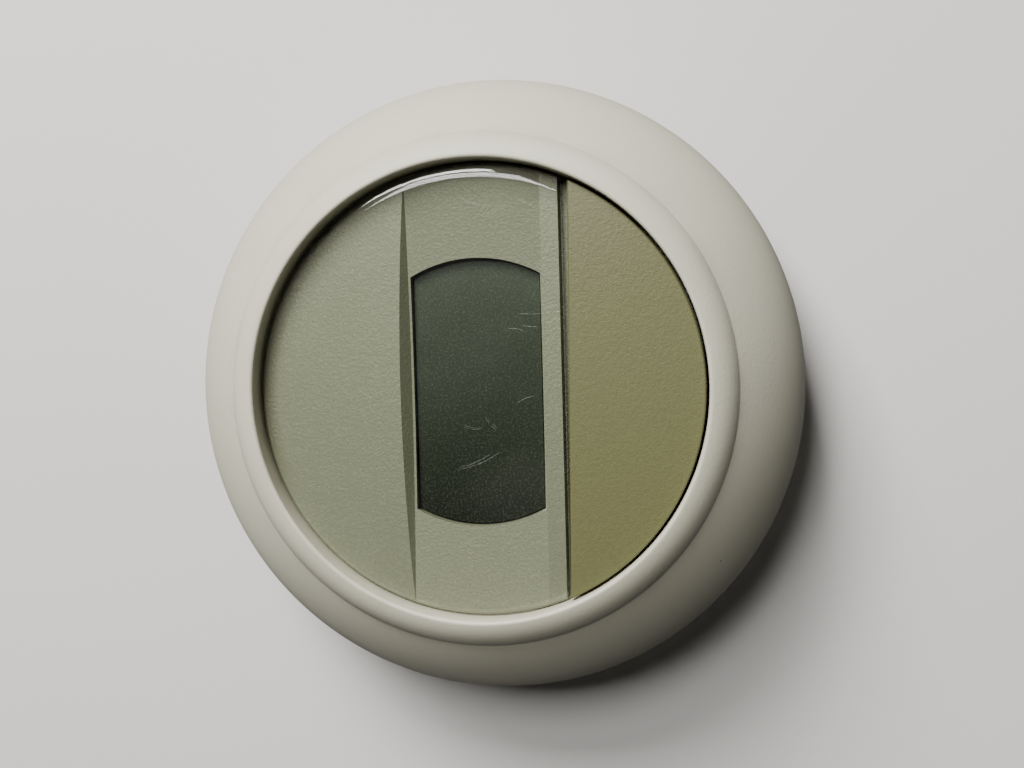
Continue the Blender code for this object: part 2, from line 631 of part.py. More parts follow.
def make_dial_screws():
    top = GEAR_Z + DIAL_SCREW_HEAD_HEIGHT + GAP
    for number, (x, y) in enumerate(ring_places(DIAL_PILLAR_CIRCLE, DIAL_PILLAR_ANGLES), start=1):
        screw = cylinder(f"dial_screw_{number}", x, y, top - DIAL_SCREW_HEAD_HEIGHT, top,
                         DIAL_SCREW_HEAD_RADIUS, steel, sides=16)
        join(screw, cylinder("add_dial_shank", x, y, top - GAP, dial_screw_tip(), DIAL_SCREW_RADIUS,
                             sides=12))


# Gears

def involute(angle):
    return math.tan(angle) - angle


def gear_outline(teeth, tip_radius, root_radius, thickness, flank_steps=4):
    """Involute teeth, one centred on the X axis; thickness is measured on the pitch circle."""
    pitch_radius = MODULE * teeth / 2
    base_radius = pitch_radius * math.cos(PRESSURE_ANGLE)
    half = thickness / (2 * pitch_radius) + involute(PRESSURE_ANGLE)
    flank = [(root_radius, half - involute(math.acos(min(1.0, base_radius / max(root_radius, base_radius)))))]
    start = max(root_radius, base_radius)
    for i in range(flank_steps + 1):
        radius = start + (tip_radius - start) * i / flank_steps
        flank.append((radius, half - involute(math.acos(min(1.0, base_radius / radius)))))
    if root_radius >= base_radius:
        flank.pop(0)
    points = []
    for tooth in range(teeth):
        middle = 2 * math.pi * tooth / teeth
        for radius, offset in flank:
            points.append((radius, middle - offset))
        for radius, offset in reversed(flank):
            points.append((radius, middle + offset))
    return [(radius * math.cos(a), radius * math.sin(a)) for radius, a in points]


def make_gears():
    half_pitch = math.pi * MODULE / 2
    ring_root = RING_PITCH_RADIUS + 1.25 * MODULE
    outer = ring_root + RING_WALL
    spaces = gear_outline(RING_TEETH, ring_root, RING_PITCH_RADIUS - 0.6 * MODULE,
                          half_pitch + BACKLASH / 2, 2)
    rim = arc(0, 0, outer, 0, 360 - 360 / ROUND_STEPS, ROUND_STEPS - 1)
    ring = slab("dial_gear", [rim, spaces], GEAR_Z, LIP_Z, gear_white)
    lip_hole = arc(0, 0, LIP_INNER_RADIUS, 0, 360 - 360 / ROUND_STEPS, ROUND_STEPS - 1)
    join(ring, slab("add_lip", [rim, lip_hole], LIP_Z - GAP, LIP_TOP))
    for x, y in ring_places(DIAL_PILLAR_CIRCLE, DIAL_PILLAR_ANGLES):
        cut(ring, cylinder("cut_dial_head", x, y, GEAR_Z - 0.001, GEAR_Z + DIAL_SCREW_HEAD_HEIGHT + 2 * GAP,
                           DIAL_SCREW_HEAD_RADIUS + GAP, sides=16),
            cylinder("cut_dial_shank", x, y, GEAR_Z, LIP_TOP + 0.001, DIAL_SCREW_RADIUS + GAP, sides=12))
    x, y, angle = pinion_place()
    tip = PINION_PITCH_RADIUS + 0.8 * MODULE
    root = PINION_PITCH_RADIUS - 1.25 * MODULE
    teeth = gear_outline(PINION_TEETH, tip, root, half_pitch - BACKLASH / 2)
    pinion = slab("encoder_pinion", [teeth], GEAR_Z, LIP_Z - SLIP, gear_white, (x, y, 0))
    pinion.rotation_euler = (0, 0, angle)
    join(pinion, cylinder("add_shaft", x, y, UNDER_BOARD + GAP, GEAR_Z + GAP, SHAFT_RADIUS, sides=20))


clear_scene()
parts = new_collection("wall_thermostat")
cutters = new_collection("cutters")
stand = bpy.data.objects.new("stand", None)
stand.rotation_euler = (math.pi / 2, 0, 0)
parts.objects.link(stand)

dial_white = new_material("dial_white", (0.63, 0.61, 0.53), 0.45)
white_plastic = new_material("white_plastic", (0.66, 0.64, 0.57), 0.5)
face_grey = new_material("face_grey", (0.24, 0.24, 0.17), 0.45)
beige_plastic = new_material("beige_plastic", (0.34, 0.33, 0.19), 0.5)
clear_plastic = new_material("clear_plastic", (0.85, 0.88, 0.84), 0.05)
display_grey = new_material("display_grey", (0.06, 0.07, 0.06), 0.25)
milky_plastic = new_material("milky_plastic", (0.75, 0.75, 0.72), 0.4)
strip_rubber = new_material("strip_rubber", (0.25, 0.08, 0.07), 0.7)
grey_plastic = new_material("grey_plastic", (0.3, 0.3, 0.28), 0.5)
dark_plastic = new_material("dark_plastic", (0.03, 0.03, 0.035), 0.5)
chip_black = new_material("chip_black", (0.015, 0.015, 0.015), 0.4)
capacitor_blue = new_material("capacitor_blue", (0.03, 0.05, 0.2), 0.35)
sensor_black = new_material("sensor_black", (0.02, 0.02, 0.02), 0.4)
board_green = new_material("board_green", (0.02, 0.13, 0.05), 0.35)
gear_white = new_material("gear_white", (0.75, 0.74, 0.68), 0.45)
brass = new_material("brass", (0.62, 0.44, 0.17), 0.3, 1.0)
steel = new_material("steel", (0.55, 0.55, 0.56), 0.3, 1.0)

make_wall_plate()
make_terminal_block()
make_terminals()
make_contacts()
make_rear_case()
make_case_screws()
make_board()
make_button()
make_display()
make_front_bezel()
make_clear_lens()
make_segment_cover()
make_dial_ring()
make_dial_screws()
make_gears()
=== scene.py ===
"""Round wall thermostat: turning dial, clear window over a display, and a lift-off segment cover.

Laid out as a Blender add-on and run as a script. The wall is the plane y = 0, the front
faces -Y and +Z is up. Heights are measured out of the wall, along -Y. Sizes are in metres.
"""
import json
import math

import bpy
from mathutils import Matrix, Vector

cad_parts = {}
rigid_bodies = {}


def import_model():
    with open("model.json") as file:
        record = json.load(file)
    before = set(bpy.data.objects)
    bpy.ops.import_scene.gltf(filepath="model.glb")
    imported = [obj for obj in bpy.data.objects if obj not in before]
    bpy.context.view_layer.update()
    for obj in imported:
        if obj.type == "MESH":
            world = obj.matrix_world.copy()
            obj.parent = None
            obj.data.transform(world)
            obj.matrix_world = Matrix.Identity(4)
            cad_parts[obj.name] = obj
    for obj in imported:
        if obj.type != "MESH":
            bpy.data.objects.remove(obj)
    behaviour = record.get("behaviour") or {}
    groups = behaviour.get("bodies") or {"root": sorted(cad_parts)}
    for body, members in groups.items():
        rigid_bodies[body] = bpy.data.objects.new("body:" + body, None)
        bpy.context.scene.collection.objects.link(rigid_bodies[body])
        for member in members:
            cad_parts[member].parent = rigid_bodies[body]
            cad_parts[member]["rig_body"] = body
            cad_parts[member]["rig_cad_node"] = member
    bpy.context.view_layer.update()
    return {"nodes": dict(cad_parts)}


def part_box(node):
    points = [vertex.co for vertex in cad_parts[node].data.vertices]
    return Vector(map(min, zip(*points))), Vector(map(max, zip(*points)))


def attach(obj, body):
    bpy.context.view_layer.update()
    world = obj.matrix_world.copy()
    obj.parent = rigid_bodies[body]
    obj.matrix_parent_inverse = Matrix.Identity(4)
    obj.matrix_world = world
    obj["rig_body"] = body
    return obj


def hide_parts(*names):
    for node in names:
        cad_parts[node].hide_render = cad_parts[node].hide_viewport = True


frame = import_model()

bl_info = {
    "name": "Round Wall Thermostat",
    "version": (1, 0, 0),
    "blender": (4, 5, 0),
    "location": "View3D > Sidebar > Thermostat",
    "description": "Adds a round wall thermostat with a turning dial, a display and a wall plate",
    "category": "Add Mesh",
}

MM = 0.001
ROUND_STEPS = 192               # corners round a circle
SHARP = math.radians(35)        # edges sharper than this stay sharp in the shading
SAME_POINT = 0.002 * MM         # points nearer than this are merged
ON_PLANE = 0.01 * MM            # a point this near a plane lies on it
QUARTER = math.pi / 2
FACE_THICKNESS = 2.8 * MM
CLIPS_ACROSS = (-12 * MM, 12 * MM)      # the clips of the segment cover
CLIPS_UP = -17.5 * MM


def height_of(node):
    """How far a node of the frame stands out of the wall."""
    return -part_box(node)[0][1]


def depth_of(node):
    """How near the wall a node of the frame begins."""
    return -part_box(node)[1][1]


def radius_of(node):
    low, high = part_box(node)
    return (high[0] - low[0]) / 2


def linear(red, green, blue):
    """Linear colour of a display colour given from 0 to 255."""
    shares = (red / 255, green / 255, blue / 255)
    return tuple(s / 12.92 if s <= 0.04045 else ((s + 0.055) / 1.055) ** 2.4 for s in shares)


# Properties

SIZES = {
    # sizes in millimetres that the frame's boxes don't give, and what each is
    "crease_radius": (32.65, "Where the dome of the dial meets its bead"),
    "crease_height": (26.15, "Height of the crease out of the wall"),
    "opening_radius": (28.87, "Radius of the opening in the dial"),
    "widest_height": (12.6, "Height of the dial's widest line out of the wall"),
    "bead_curve": (5.2, "Radius of the bead's rounded top"),
    "dial_wall": (1.2, "Wall thickness of the dial"),
    "hem_inset": (0.8, "How far the dial draws in at its back edge"),
    "edge_radius": (0.38, "Rounding of the edge of the opening"),
    "lens_rim": (2.0, "Width of the rounded rim of the lens"),
    "lens_fall": (1.15, "How far the rim of the lens curves back"),
    "lens_growth": (0.5, "How much wider the lens and cover are than their plain solids"),
    "window_radius": (17.1, "Radius of the round ends of the window"),
    "window_half_height": (8.37, "From the middle of the window to its straight sides"),
    "window_up": (0.22, "Height of the window's middle above the centre"),
    "window_across": (-0.3, "How far the window's middle lies to the right"),
    "band_depth": (1.4, "Depth of the hollow round the window at its middle"),
    "band_reach": (27.5, "From the middle to where the hollow runs out"),
    "step_slope": (1.2, "Width of the sloping step above the window"),
}
COLOURS = {
    # display colours from 0 to 255, and what each is
    "dial": ((205, 202, 183), "Warm off-white of the dial"),
    "case": ((222, 220, 209), "Off-white of the case and wall plate"),
    "face": ((135, 137, 116), "Grey-green of the face behind the lens"),
    "segment": ((100, 101, 66), "Yellowed beige of the segment cover"),
    "display": ((31, 38, 30), "Dark grey-green of the display"),
    "paper": ((226, 225, 222), "Pale backdrop"),
}


def label(key):
    return key.replace("_", " ").title()


class ThermostatSizes(bpy.types.PropertyGroup):
    """Sizes of the pieces."""

    __annotations__ = {
        key: bpy.props.FloatProperty(name=label(key), description=text, unit="LENGTH",
                                     default=size * MM)
        for key, (size, text) in SIZES.items()}
    __annotations__["dome_fullness"] = bpy.props.FloatProperty(
        name="Dome Fullness", description="0.5 is a parabola, more is nearer a cone", default=0.52)


class ThermostatColours(bpy.types.PropertyGroup):
    """Colours of the finishes."""

    __annotations__ = {
        key: bpy.props.FloatVectorProperty(name=label(key), description=text, subtype="COLOR",
                                           default=linear(*colour))
        for key, (colour, text) in COLOURS.items()}


# Finishes

class Number:
    """A number in a material's nodes. Expressions on it add Math nodes."""

    def __init__(self, finish, socket):
        self.finish = finish
        self.socket = socket

    def maths(self, operation, first, second=0.0):
        return self.finish.number("Math", {"operation": operation}, {0: first, 1: second})

    def __add__(self, other):
        return self.maths("ADD", self, other)

    __radd__ = __add__

    def __sub__(self, other):
        return self.maths("SUBTRACT", self, other)

    def __rsub__(self, other):
        return self.maths("SUBTRACT", other, self)

    def __mul__(self, other):
        return self.maths("MULTIPLY", self, other)

    __rmul__ = __mul__

    def __lt__(self, other):
        return self.maths("LESS_THAN", self, other)

    def __abs__(self):
        return self.maths("ABSOLUTE", self)

    def root(self):
        return self.maths("SQRT", self)

    def highest(self, other):
        return self.maths("MAXIMUM", self, other)


def distance(across, up):
    """How far from the axis a point lies, from how far it lies across and up."""
    return (across * across + up * up).root()


class Finish:
    """A material and the nodes that make it, all on Object coordinates."""

    def __init__(self, name):
        self.material = bpy.data.materials.new(name)
        self.material.use_nodes = True
        self.tree = self.material.node_tree
        self.tree.nodes.clear()
        self.place = self.node("TexCoord").outputs["Object"]

    def node(self, kind, settings=None, sockets=None):
        """Add a node: its settings first, then a value or a link for each named socket."""
        made = self.tree.nodes.new("ShaderNode" + kind)
        for name, value in (settings or {}).items():
            setattr(made, name, value)
        for name, value in (sockets or {}).items():
            value = value.socket if isinstance(value, Number) else value
            if isinstance(value, bpy.types.NodeSocket):
                self.tree.links.new(value, made.inputs[name])
            elif isinstance(value, tuple) and made.inputs[name].type == "RGBA" and len(value) == 3:
                made.inputs[name].default_value = (*value, 1.0)
            else:
                made.inputs[name].default_value = value
        return made

    def number(self, kind, settings=None, sockets=None, output=0):
        """Add a node and take one of its outputs as a number."""
        return Number(self, self.node(kind, settings, sockets).outputs[output])

    def front(self):
        """How far a point lies across and up, as two numbers."""
        parts = self.node("SeparateXYZ", None, {0: self.place})
        return Number(self, parts.outputs[0]), Number(self, parts.outputs[2])

    def mapped(self, **sockets):
        """Object coordinates moved, turned or stretched."""
        return self.node("Mapping", None, {"Vector": self.place, **sockets}).outputs[0]

    def noise(self, grain, detail=2.0, roughness=0.5):
        """Noise whose features are about grain metres across."""
        return self.number("TexNoise", None, {
            "Vector": self.place, "Scale": 1 / grain, "Detail": detail, "Roughness": roughness})

    def cells(self, grain, vector=None):
        """Distance to the nearest of points that are about grain metres apart, in grains."""
        sockets = {"Vector": vector or self.place, "Scale": 1 / grain}
        return self.number("TexVoronoi", None, sockets, "Distance")

    def between(self, number, low, high):
        """0 where number is at low, 1 where it is at high, and clamped outside."""
        return self.number("MapRange", {"clamp": True}, {
            "Value": number, "From Min": low, "From Max": high})

    def blend(self, share, first, second):
        """Colour first where share is 0 and second where it is 1."""
        return self.node("Mix", {"data_type": "RGBA"}, {0: share, 6: first, 7: second}).outputs[2]

    def scratches(self, length, width, turn, amount):
        """Fine lines: a noise drawn out along one direction, and cut off where it is low."""
        along = self.mapped(Scale=(1 / length, 1 / width, 1 / width), Rotation=turn)
        lines = self.number("TexNoise", None, {
            "Vector": along, "Scale": 1.0, "Detail": 3.0, "Distortion": 0.4})
        patches = self.between(self.noise(length * 0.8), 0.5, 0.62)
        return self.between(lines, 1 - amount, 1 - amount + 0.03) * patches

    def hairline(self, x, up, first, second, sag, width):
        """A thin arc on the front, from first to second, which bows out by sag."""
        middle = ((first[0] + second[0]) / 2, (first[1] + second[1]) / 2)
        along = (second[0] - first[0], second[1] - first[1])
        half = math.hypot(*along) / 2
        radius = (half ** 2 + sag ** 2) / (2 * sag)
        aside = (radius - sag) / (2 * half)
        centre = (middle[0] - along[1] * aside, middle[1] + along[0] * aside)
        off = abs(distance(x - centre[0], up - centre[1]) - abs(radius))
        line = 1 - self.between(off, width * 0.3, width)
        near = distance(x - middle[0], up - middle[1])
        return line * (1 - self.between(near, half * 0.75, half))

    def specks(self, spacing, size, seed):
        """Small round specks, here and there."""
        moved = self.mapped(Location=(seed, seed, seed))
        return 1 - self.between(self.cells(spacing, moved), size * 0.6 / spacing, size / spacing)

    def bump(self, height, depth, normal=None):
        sockets = {"Height": height, "Distance": depth, "Strength": 1.0}
        if normal is not None:
            sockets["Normal"] = normal
        return self.node("Bump", None, sockets).outputs[0]

    def surface(self, sockets):
        shader = self.node("BsdfPrincipled", None, sockets)
        self.output(shader.outputs[0])
        return self.material

    def output(self, socket):
        self.node("OutputMaterial", None, {"Surface": socket})


def chosen(name):
    return tuple(getattr(bpy.context.scene.thermostat_colours, name))


def scaled(colour, *shares):
    """A colour multiplied by one share, or by one for each channel."""
    return tuple(channel * share for channel, share in zip(colour, shares * (3 // len(shares))))


def dial_finish(colour, crease_radius, opening_radius):
    """Satin plastic, handled for years: greyed in the crease and along the opening, partly as dirt and
    partly as painted shade.
    """
    f = Finish("dial_plastic")
    radius = distance(*f.front())
    # darker in the crease and along the opening: partly dirt, partly painted shade in the crease and
    # inside the opening
    crease = 1 - f.between(abs(radius - crease_radius), 0.0, 1.3 * MM)
    opening = 1 - f.between(abs(radius - opening_radius), 0.1 * MM, 1.0 * MM)
    smudge = f.between(f.noise(9 * MM, 4, 0.6), 0.45, 0.75)
    dirt_and_crease_shade = (crease * 0.55 + opening * 0.5 + 0.12) * smudge
    yellow = f.between(f.noise(45 * MM, 2), 0.3, 0.7)
    speck = f.specks(7 * MM, 0.16 * MM, 3.1)
    fine_speck = f.specks(3.3 * MM, 0.06 * MM, 8.7)
    worn = f.blend(yellow * 0.5, colour, scaled(colour, 1.0, 0.985, 0.93))
    dirtied_and_shaded = f.blend(dirt_and_crease_shade * 0.5, worn, (0.30, 0.28, 0.23))
    flecked = f.blend(speck * 0.8, dirtied_and_shaded, (0.05, 0.045, 0.04))
    dotted = f.blend(fine_speck * 0.7, flecked, (0.12, 0.11, 0.09))
    lines = f.scratches(7 * MM, 0.10 * MM, (0.3, 0.2, 0.8), 0.32)
    peel = f.bump(f.noise(0.42 * MM, 3, 0.6), 0.028 * MM)
    scored = f.bump(lines, 0.01 * MM, peel)
    rough = 0.40 + f.noise(6 * MM, 3) * 0.12 + lines * 0.1 + dirt_and_crease_shade * 0.2
    return f.surface({"Base Color": dotted, "Roughness": rough, "IOR": 1.50, "Normal": scored,
                      "Specular IOR Level": 0.4})


def moulded_finish(name, colour, roughness, grain=0.3 * MM, relief=0.012 * MM):
    """Injection-moulded plastic with a fine grain, slight mottling and faint scuffs."""
    f = Finish(name)
    mottle = f.between(f.noise(14 * MM, 3, 0.55), 0.3, 0.7)
    fine = f.noise(grain, 3, 0.65)
    scuff = f.scratches(5 * MM, 0.09 * MM, (0.2, 0.9, 0.4), 0.33)
    speck = f.specks(5 * MM, 0.10 * MM, 5.3)
    shaded = f.blend(mottle * 0.10, colour, scaled(colour, 0.72))
    grained = f.blend(f.between(fine, 0.35, 0.7) * 0.10, shaded, scaled(colour, 1.35))
    marked = f.blend(scuff * 0.15, grained, scaled(colour, 1.25))
    flecked = f.blend(speck * 0.7, marked, scaled(colour, 0.15))
    relief_normal = f.bump(fine, relief)
    rough = roughness - 0.05 + mottle * 0.08 - scuff * 0.1
    return f.surface({"Base Color": flecked, "Roughness": rough, "IOR": 1.5,
                      "Normal": f.bump(scuff, 0.006 * MM, relief_normal)})


def face_finish(colour):
    """Grey-green lacquer over a fine grain with painted glitter flecks, and a painted shadow of the
    bead along the rim on the side towards the lights.
    """
    f = Finish("face_plastic")
    x, z = f.front()
    # painted shadow: a dark brown band inside the rim, on the side towards the lights, where the bead
    # casts its shadow
    rim = f.between(distance(x, z), 26.4 * MM, 28.0 * MM)
    upper = f.between(x * 0.87 + z * 0.5, -2 * MM, 18 * MM)
    fine = f.noise(0.34 * MM, 3, 0.65)
    flake = f.between(f.cells(0.30 * MM), 0.0, 0.5)
    mottle = f.between(f.noise(18 * MM, 3), 0.3, 0.7)
    base = f.blend(mottle * 0.35, colour, scaled(colour, 0.88, 0.89, 0.80))
    # lighter flecks on the peaks of the grain: grain colour and painted glitter
    grain_with_painted_glitter = f.blend(f.between(fine, 0.52, 0.68) * 0.42, base, scaled(colour, 1.45))
    flaked = f.blend(flake * 0.22, grain_with_painted_glitter, scaled(colour, 0.55))
    painted_rim_shadow = f.blend(rim * upper * 0.75, flaked, (0.085, 0.068, 0.036))
    normal = f.bump(fine, 0.06 * MM)
    return f.surface({"Base Color": painted_rim_shadow, "Roughness": 0.36 + mottle * 0.08, "Metallic": 0.12,
                      "IOR": 1.5, "Normal": normal})


def segment_finish(colour):
    """Beige plastic with a leathery grain, yellowed unevenly by light."""
    f = Finish("beige_plastic")
    coarse = f.noise(0.40 * MM, 3, 0.6)
    fine = f.noise(0.2 * MM, 2)
    yellow = f.between(f.noise(22 * MM, 3, 0.6), 0.3, 0.7)
    base = f.blend(yellow * 0.45, colour, scaled(colour, 0.93, 0.91, 0.72))
    valley = f.blend((1 - f.between(coarse, 0.3, 0.55)) * 0.22, base, scaled(colour, 0.6))
    speck = f.specks(6.5 * MM, 0.15 * MM, 2.2)
    flecked = f.blend(speck * 0.85, valley, (0.02, 0.018, 0.015))
    scuff = f.scratches(4 * MM, 0.08 * MM, (0.1, 0.7, 0.3), 0.34)
    grain = f.bump(coarse, 0.038 * MM)
    finer = f.bump(fine + scuff * 0.5, 0.008 * MM, grain)
    return f.surface({"Base Color": flecked, "Roughness": 0.36 + yellow * 0.08 - scuff * 0.12,
                      "IOR": 1.5, "Normal": finer})


HAIRLINES = (
    # the x and up of one end, those of the other end, and the sag, in millimetres
    (-9.8, 2.7, -7.6, -2.9, 0.45), (-9.5, 2.4, -7.9, -1.6, 0.3), (-1.7, -5.1, -0.8, -7.6, -0.25),
    (9.6, -5.4, 9.5, -8.6, 0.1), (8.1, -5.9, 7.9, -8.0, 0.1), (7.7, -4.2, 7.2, -6.4, -0.2),
    (-4.2, 2.0, -4.7, -0.6, 0.25), (24.6, 2.0, 23.1, -3.4, 0.5), (23.8, -4.6, 22.4, -8.1, -0.4),
    (21.9, -1.1, 23.4, -4.4, 0.35), (-3.1, -1.2, -4.9, -2.6, 0.2), (14.5, 11.0, 11.2, 13.4, 0.3),
)


def lens_finish():
    """Clear acrylic: see-through apart from its gloss, dust and a few hairline scratches."""
    f = Finish("clear_plastic")
    x, z = f.front()
    scratch = 0.0
    for x1, up1, x2, up2, sag in HAIRLINES:
        scratch = scratch + f.hairline(
            x, z, (x1 * MM, up1 * MM), (x2 * MM, up2 * MM), sag * MM, 0.028 * MM)
    haze = f.between(f.noise(12 * MM, 4, 0.6), 0.4, 0.8)
    dust = f.specks(2.6 * MM, 0.05 * MM, 1.3)
    broken = f.between(f.noise(0.5 * MM, 2), 0.36, 0.56)
    wear = scratch * broken * 0.26 + dust * 0.25 + haze * 0.012
    gloss = f.node("BsdfPrincipled", None, {
        "Base Color": (1.0, 1.0, 1.0), "Metallic": 1.0, "Roughness": 0.04 + haze * 0.04,
        "Normal": f.bump(f.noise(9 * MM, 2), 0.006 * MM)})
    worn = f.node("BsdfPrincipled", None, {"Base Color": (0.62, 0.63, 0.60), "Roughness": 0.5})
    clear = f.node("BsdfTransparent", None, {"Color": (0.955, 0.965, 0.945)})
    mirrored = f.number("Fresnel", None, {"IOR": 1.49})
    outside = 1 - f.number("NewGeometry", output="Backfacing")
    body = f.node("MixShader", None, {0: mirrored * outside, 1: clear.outputs[0], 2: gloss.outputs[0]})
    marked = f.node("MixShader", None, {0: wear, 1: body.outputs[0], 2: worn.outputs[0]})
    f.output(marked.outputs[0])
    return f.material


def display_finish(colour):
    """Switched-off display: dark polariser with a greenish cast, a painted reflection that makes it
    lighter towards +x, and painted glitter flecks.
    """
    f = Finish("display")
    # painted reflection: the colour grows lighter along x, towards the lights
    along = f.between(f.front()[0], -17 * MM, 17 * MM)
    painted_reflection_gradient = f.blend(along, scaled(colour, 0.45), scaled(colour, 3.9, 3.5, 3.8))
    # painted glitter: small lighter flecks, also used for a faint bump
    glint = f.between(f.noise(0.26 * MM, 3, 0.75), 0.50, 0.74)
    cloud = f.between(f.noise(9 * MM, 3), 0.3, 0.7)
    clouded = f.blend(cloud * 0.35, painted_reflection_gradient, scaled(colour, 1.5, 1.35, 1.0))
    glittered = f.blend(glint * 0.20, clouded, (0.30, 0.31, 0.22))
    return f.surface({"Base Color": glittered, "Roughness": 0.26 + cloud * 0.06, "IOR": 1.5,
                      "Specular IOR Level": 0.25, "Normal": f.bump(glint, 0.004 * MM)})


def metal_finish(name, colour, roughness, tarnish):
    """Bright metal with fine draw lines and a little tarnish."""
    f = Finish(name)
    drawn = f.number("TexNoise", None, {
        "Vector": f.mapped(Scale=(2500.0, 2500.0, 12000.0)), "Scale": 1.0, "Detail": 2.0})
    dull = f.between(f.noise(1.6 * MM, 4, 0.6), 0.45, 0.75)
    tone = f.blend(dull * 0.6, colour, tarnish)
    return f.surface({"Base Color": tone, "Metallic": 1.0,
                      "Roughness": roughness + drawn * 0.12 + dull * 0.2,
                      "Normal": f.bump(drawn, 0.004 * MM)})


def board_finish():
    """Green lacquer over copper tracks, with bright solder spots."""
    f = Finish("board")
    track = f.number("TexBrick", {"offset": 0.37, "squash": 1.0}, {
        "Vector": f.mapped(Rotation=(QUARTER, 0.0, 0.0)), "Scale": 90.0,
        "Mortar Size": 0.035, "Mortar Smooth": 0.2, "Color1": (0.0, 0.0, 0.0),
        "Color2": (0.0, 0.0, 0.0), "Mortar": (1.0, 1.0, 1.0)}, "Fac")
    pad = f.specks(4.0 * MM, 0.75 * MM, 0.4)
    weave = f.noise(0.3 * MM, 2)
    green = f.blend(track * 0.5, (0.012, 0.085, 0.03), (0.035, 0.19, 0.06))
    soldered = f.blend(pad, green, (0.62, 0.62, 0.60))
    return f.surface({"Base Color": soldered, "Metallic": pad * 0.9, "Roughness": 0.34 - pad * 0.1,
                      "Normal": f.bump(track * 0.6 + pad + weave * 0.15, 0.03 * MM)})


def paper_finish(colour):
    """Plain matt paper, faintly uneven. It throws less light back on the object than it shows.

    Behind the object it lets the rear light through, and seen from the rear it is clear.
    """
    f = Finish("paper")
    fibre = f.noise(0.5 * MM, 4, 0.6)
    cloud = f.between(f.noise(120 * MM, 2), 0.3, 0.7)
    clouded = f.blend(cloud * 0.4, colour, scaled(colour, 0.94))
    matt, gloss, shadow = (f.number("LightPath", output=f"Is {kind} Ray")
                           for kind in ("Diffuse", "Glossy", "Shadow"))
    thrown = matt + gloss * 0.95
    tone = f.blend(thrown, clouded, scaled(colour, 0.22))
    sheet = f.node("BsdfPrincipled", None, {"Base Color": tone, "Roughness": 0.85,
                                            "Normal": f.bump(fibre, 0.02 * MM)})
    open_back = f.node("BsdfTransparent", None, {"Color": (1.0, 1.0, 1.0)})
    middle = shadow * (distance(*f.front()) < 39 * MM)
    behind = f.number("NewGeometry", output="Backfacing")
    mixed = f.node("MixShader", None, {
        0: behind.highest(middle), 1: sheet.outputs[0], 2: open_back.outputs[0]})
    f.output(mixed.outputs[0])
    return f.material


# Modelling

def start_clean():
    if bpy.context.mode != "OBJECT":
        bpy.ops.object.mode_set(mode="OBJECT")
    bpy.ops.object.select_all(action="DESELECT")


def take(piece):
    """Make a piece the only one selected."""
    start_clean()
    piece.select_set(True)
    bpy.context.view_layer.objects.active = piece


def settle(name):
    """Name the new primitive and put its place into its mesh."""
    piece = bpy.context.object
    piece.name = name
    bpy.ops.object.transform_apply(location=True, rotation=True, scale=True)
    return piece


def edit(mode="VERT"):
    bpy.ops.object.mode_set(mode="EDIT")
    bpy.ops.mesh.select_mode(type=mode)


def leave():
    bpy.ops.object.mode_set(mode="OBJECT")


def everything():
    bpy.ops.mesh.select_all(action="SELECT")


def round_edges(piece, test, width, segments, clamp=False):
    """Bevel the edges whose two ends pass a test."""
    take(piece)
    bpy.context.tool_settings.mesh_select_mode = (False, True, False)
    mesh = piece.data
    for group in (mesh.vertices, mesh.edges, mesh.polygons):
        group.foreach_set("select", [False] * len(group))
    for line in mesh.edges:
        ends = [mesh.vertices[i] for i in line.vertices]
        if all(test(end.co) for end in ends):
            line.select = True
            for end in ends:
                end.select = True
    bpy.ops.object.mode_set(mode="EDIT")
    bpy.ops.mesh.bevel(offset=width, segments=segments, affect="EDGES", clamp_overlap=clamp)
    leave()


def soften(piece, width, segments=3, angle=30):
    """Round every edge sharper than an angle, and shade the piece smooth."""
    take(piece)
    bevel = piece.modifiers.new("rounding", "BEVEL")
    bevel.width = width
    bevel.segments = segments
    bevel.limit_method = "ANGLE"
    bevel.angle_limit = math.radians(angle)
    bpy.ops.object.modifier_apply(modifier=bevel.name)
    even_shading(piece)


def even_shading(piece):
    """Smooth shading between sharp edges, with the large flat faces kept flat."""
    take(piece)
    bpy.ops.object.shade_smooth_by_angle(angle=SHARP)
    bpy.ops.object.modifier_add(type="WEIGHTED_NORMAL")
    weighted = piece.modifiers[-1]
    weighted.keep_sharp = True
    weighted.weight = 90
    bpy.ops.object.modifier_apply(modifier=weighted.name)


def combine(piece, tool, operation):
    take(piece)
    boolean = piece.modifiers.new("shape", "BOOLEAN")
    boolean.operation = operation
    boolean.object = tool
    boolean.solver = "EXACT"
    bpy.ops.object.modifier_apply(modifier=boolean.name)
    bpy.data.objects.remove(tool, do_unlink=True)


def carve(piece, tool):
    combine(piece, tool, "DIFFERENCE")


def block(name, x, up, low, high, width, depth):
    """A box from one height out of the wall to another, centred on x and up."""
    start_clean()
    bpy.ops.mesh.primitive_cube_add(size=1, location=(x, -(low + high) / 2, up),
                                    scale=(width, high - low, depth))
    return settle(name)


def rod(name, x, up, low, high, radius):
    """A round bar that stands out of the wall, from one height to another."""
    start_clean()
    bpy.ops.mesh.primitive_cylinder_add(vertices=48, radius=radius, depth=high - low,
                                        location=(x, -(low + high) / 2, up), rotation=(QUARTER, 0, 0))
    return settle(name)


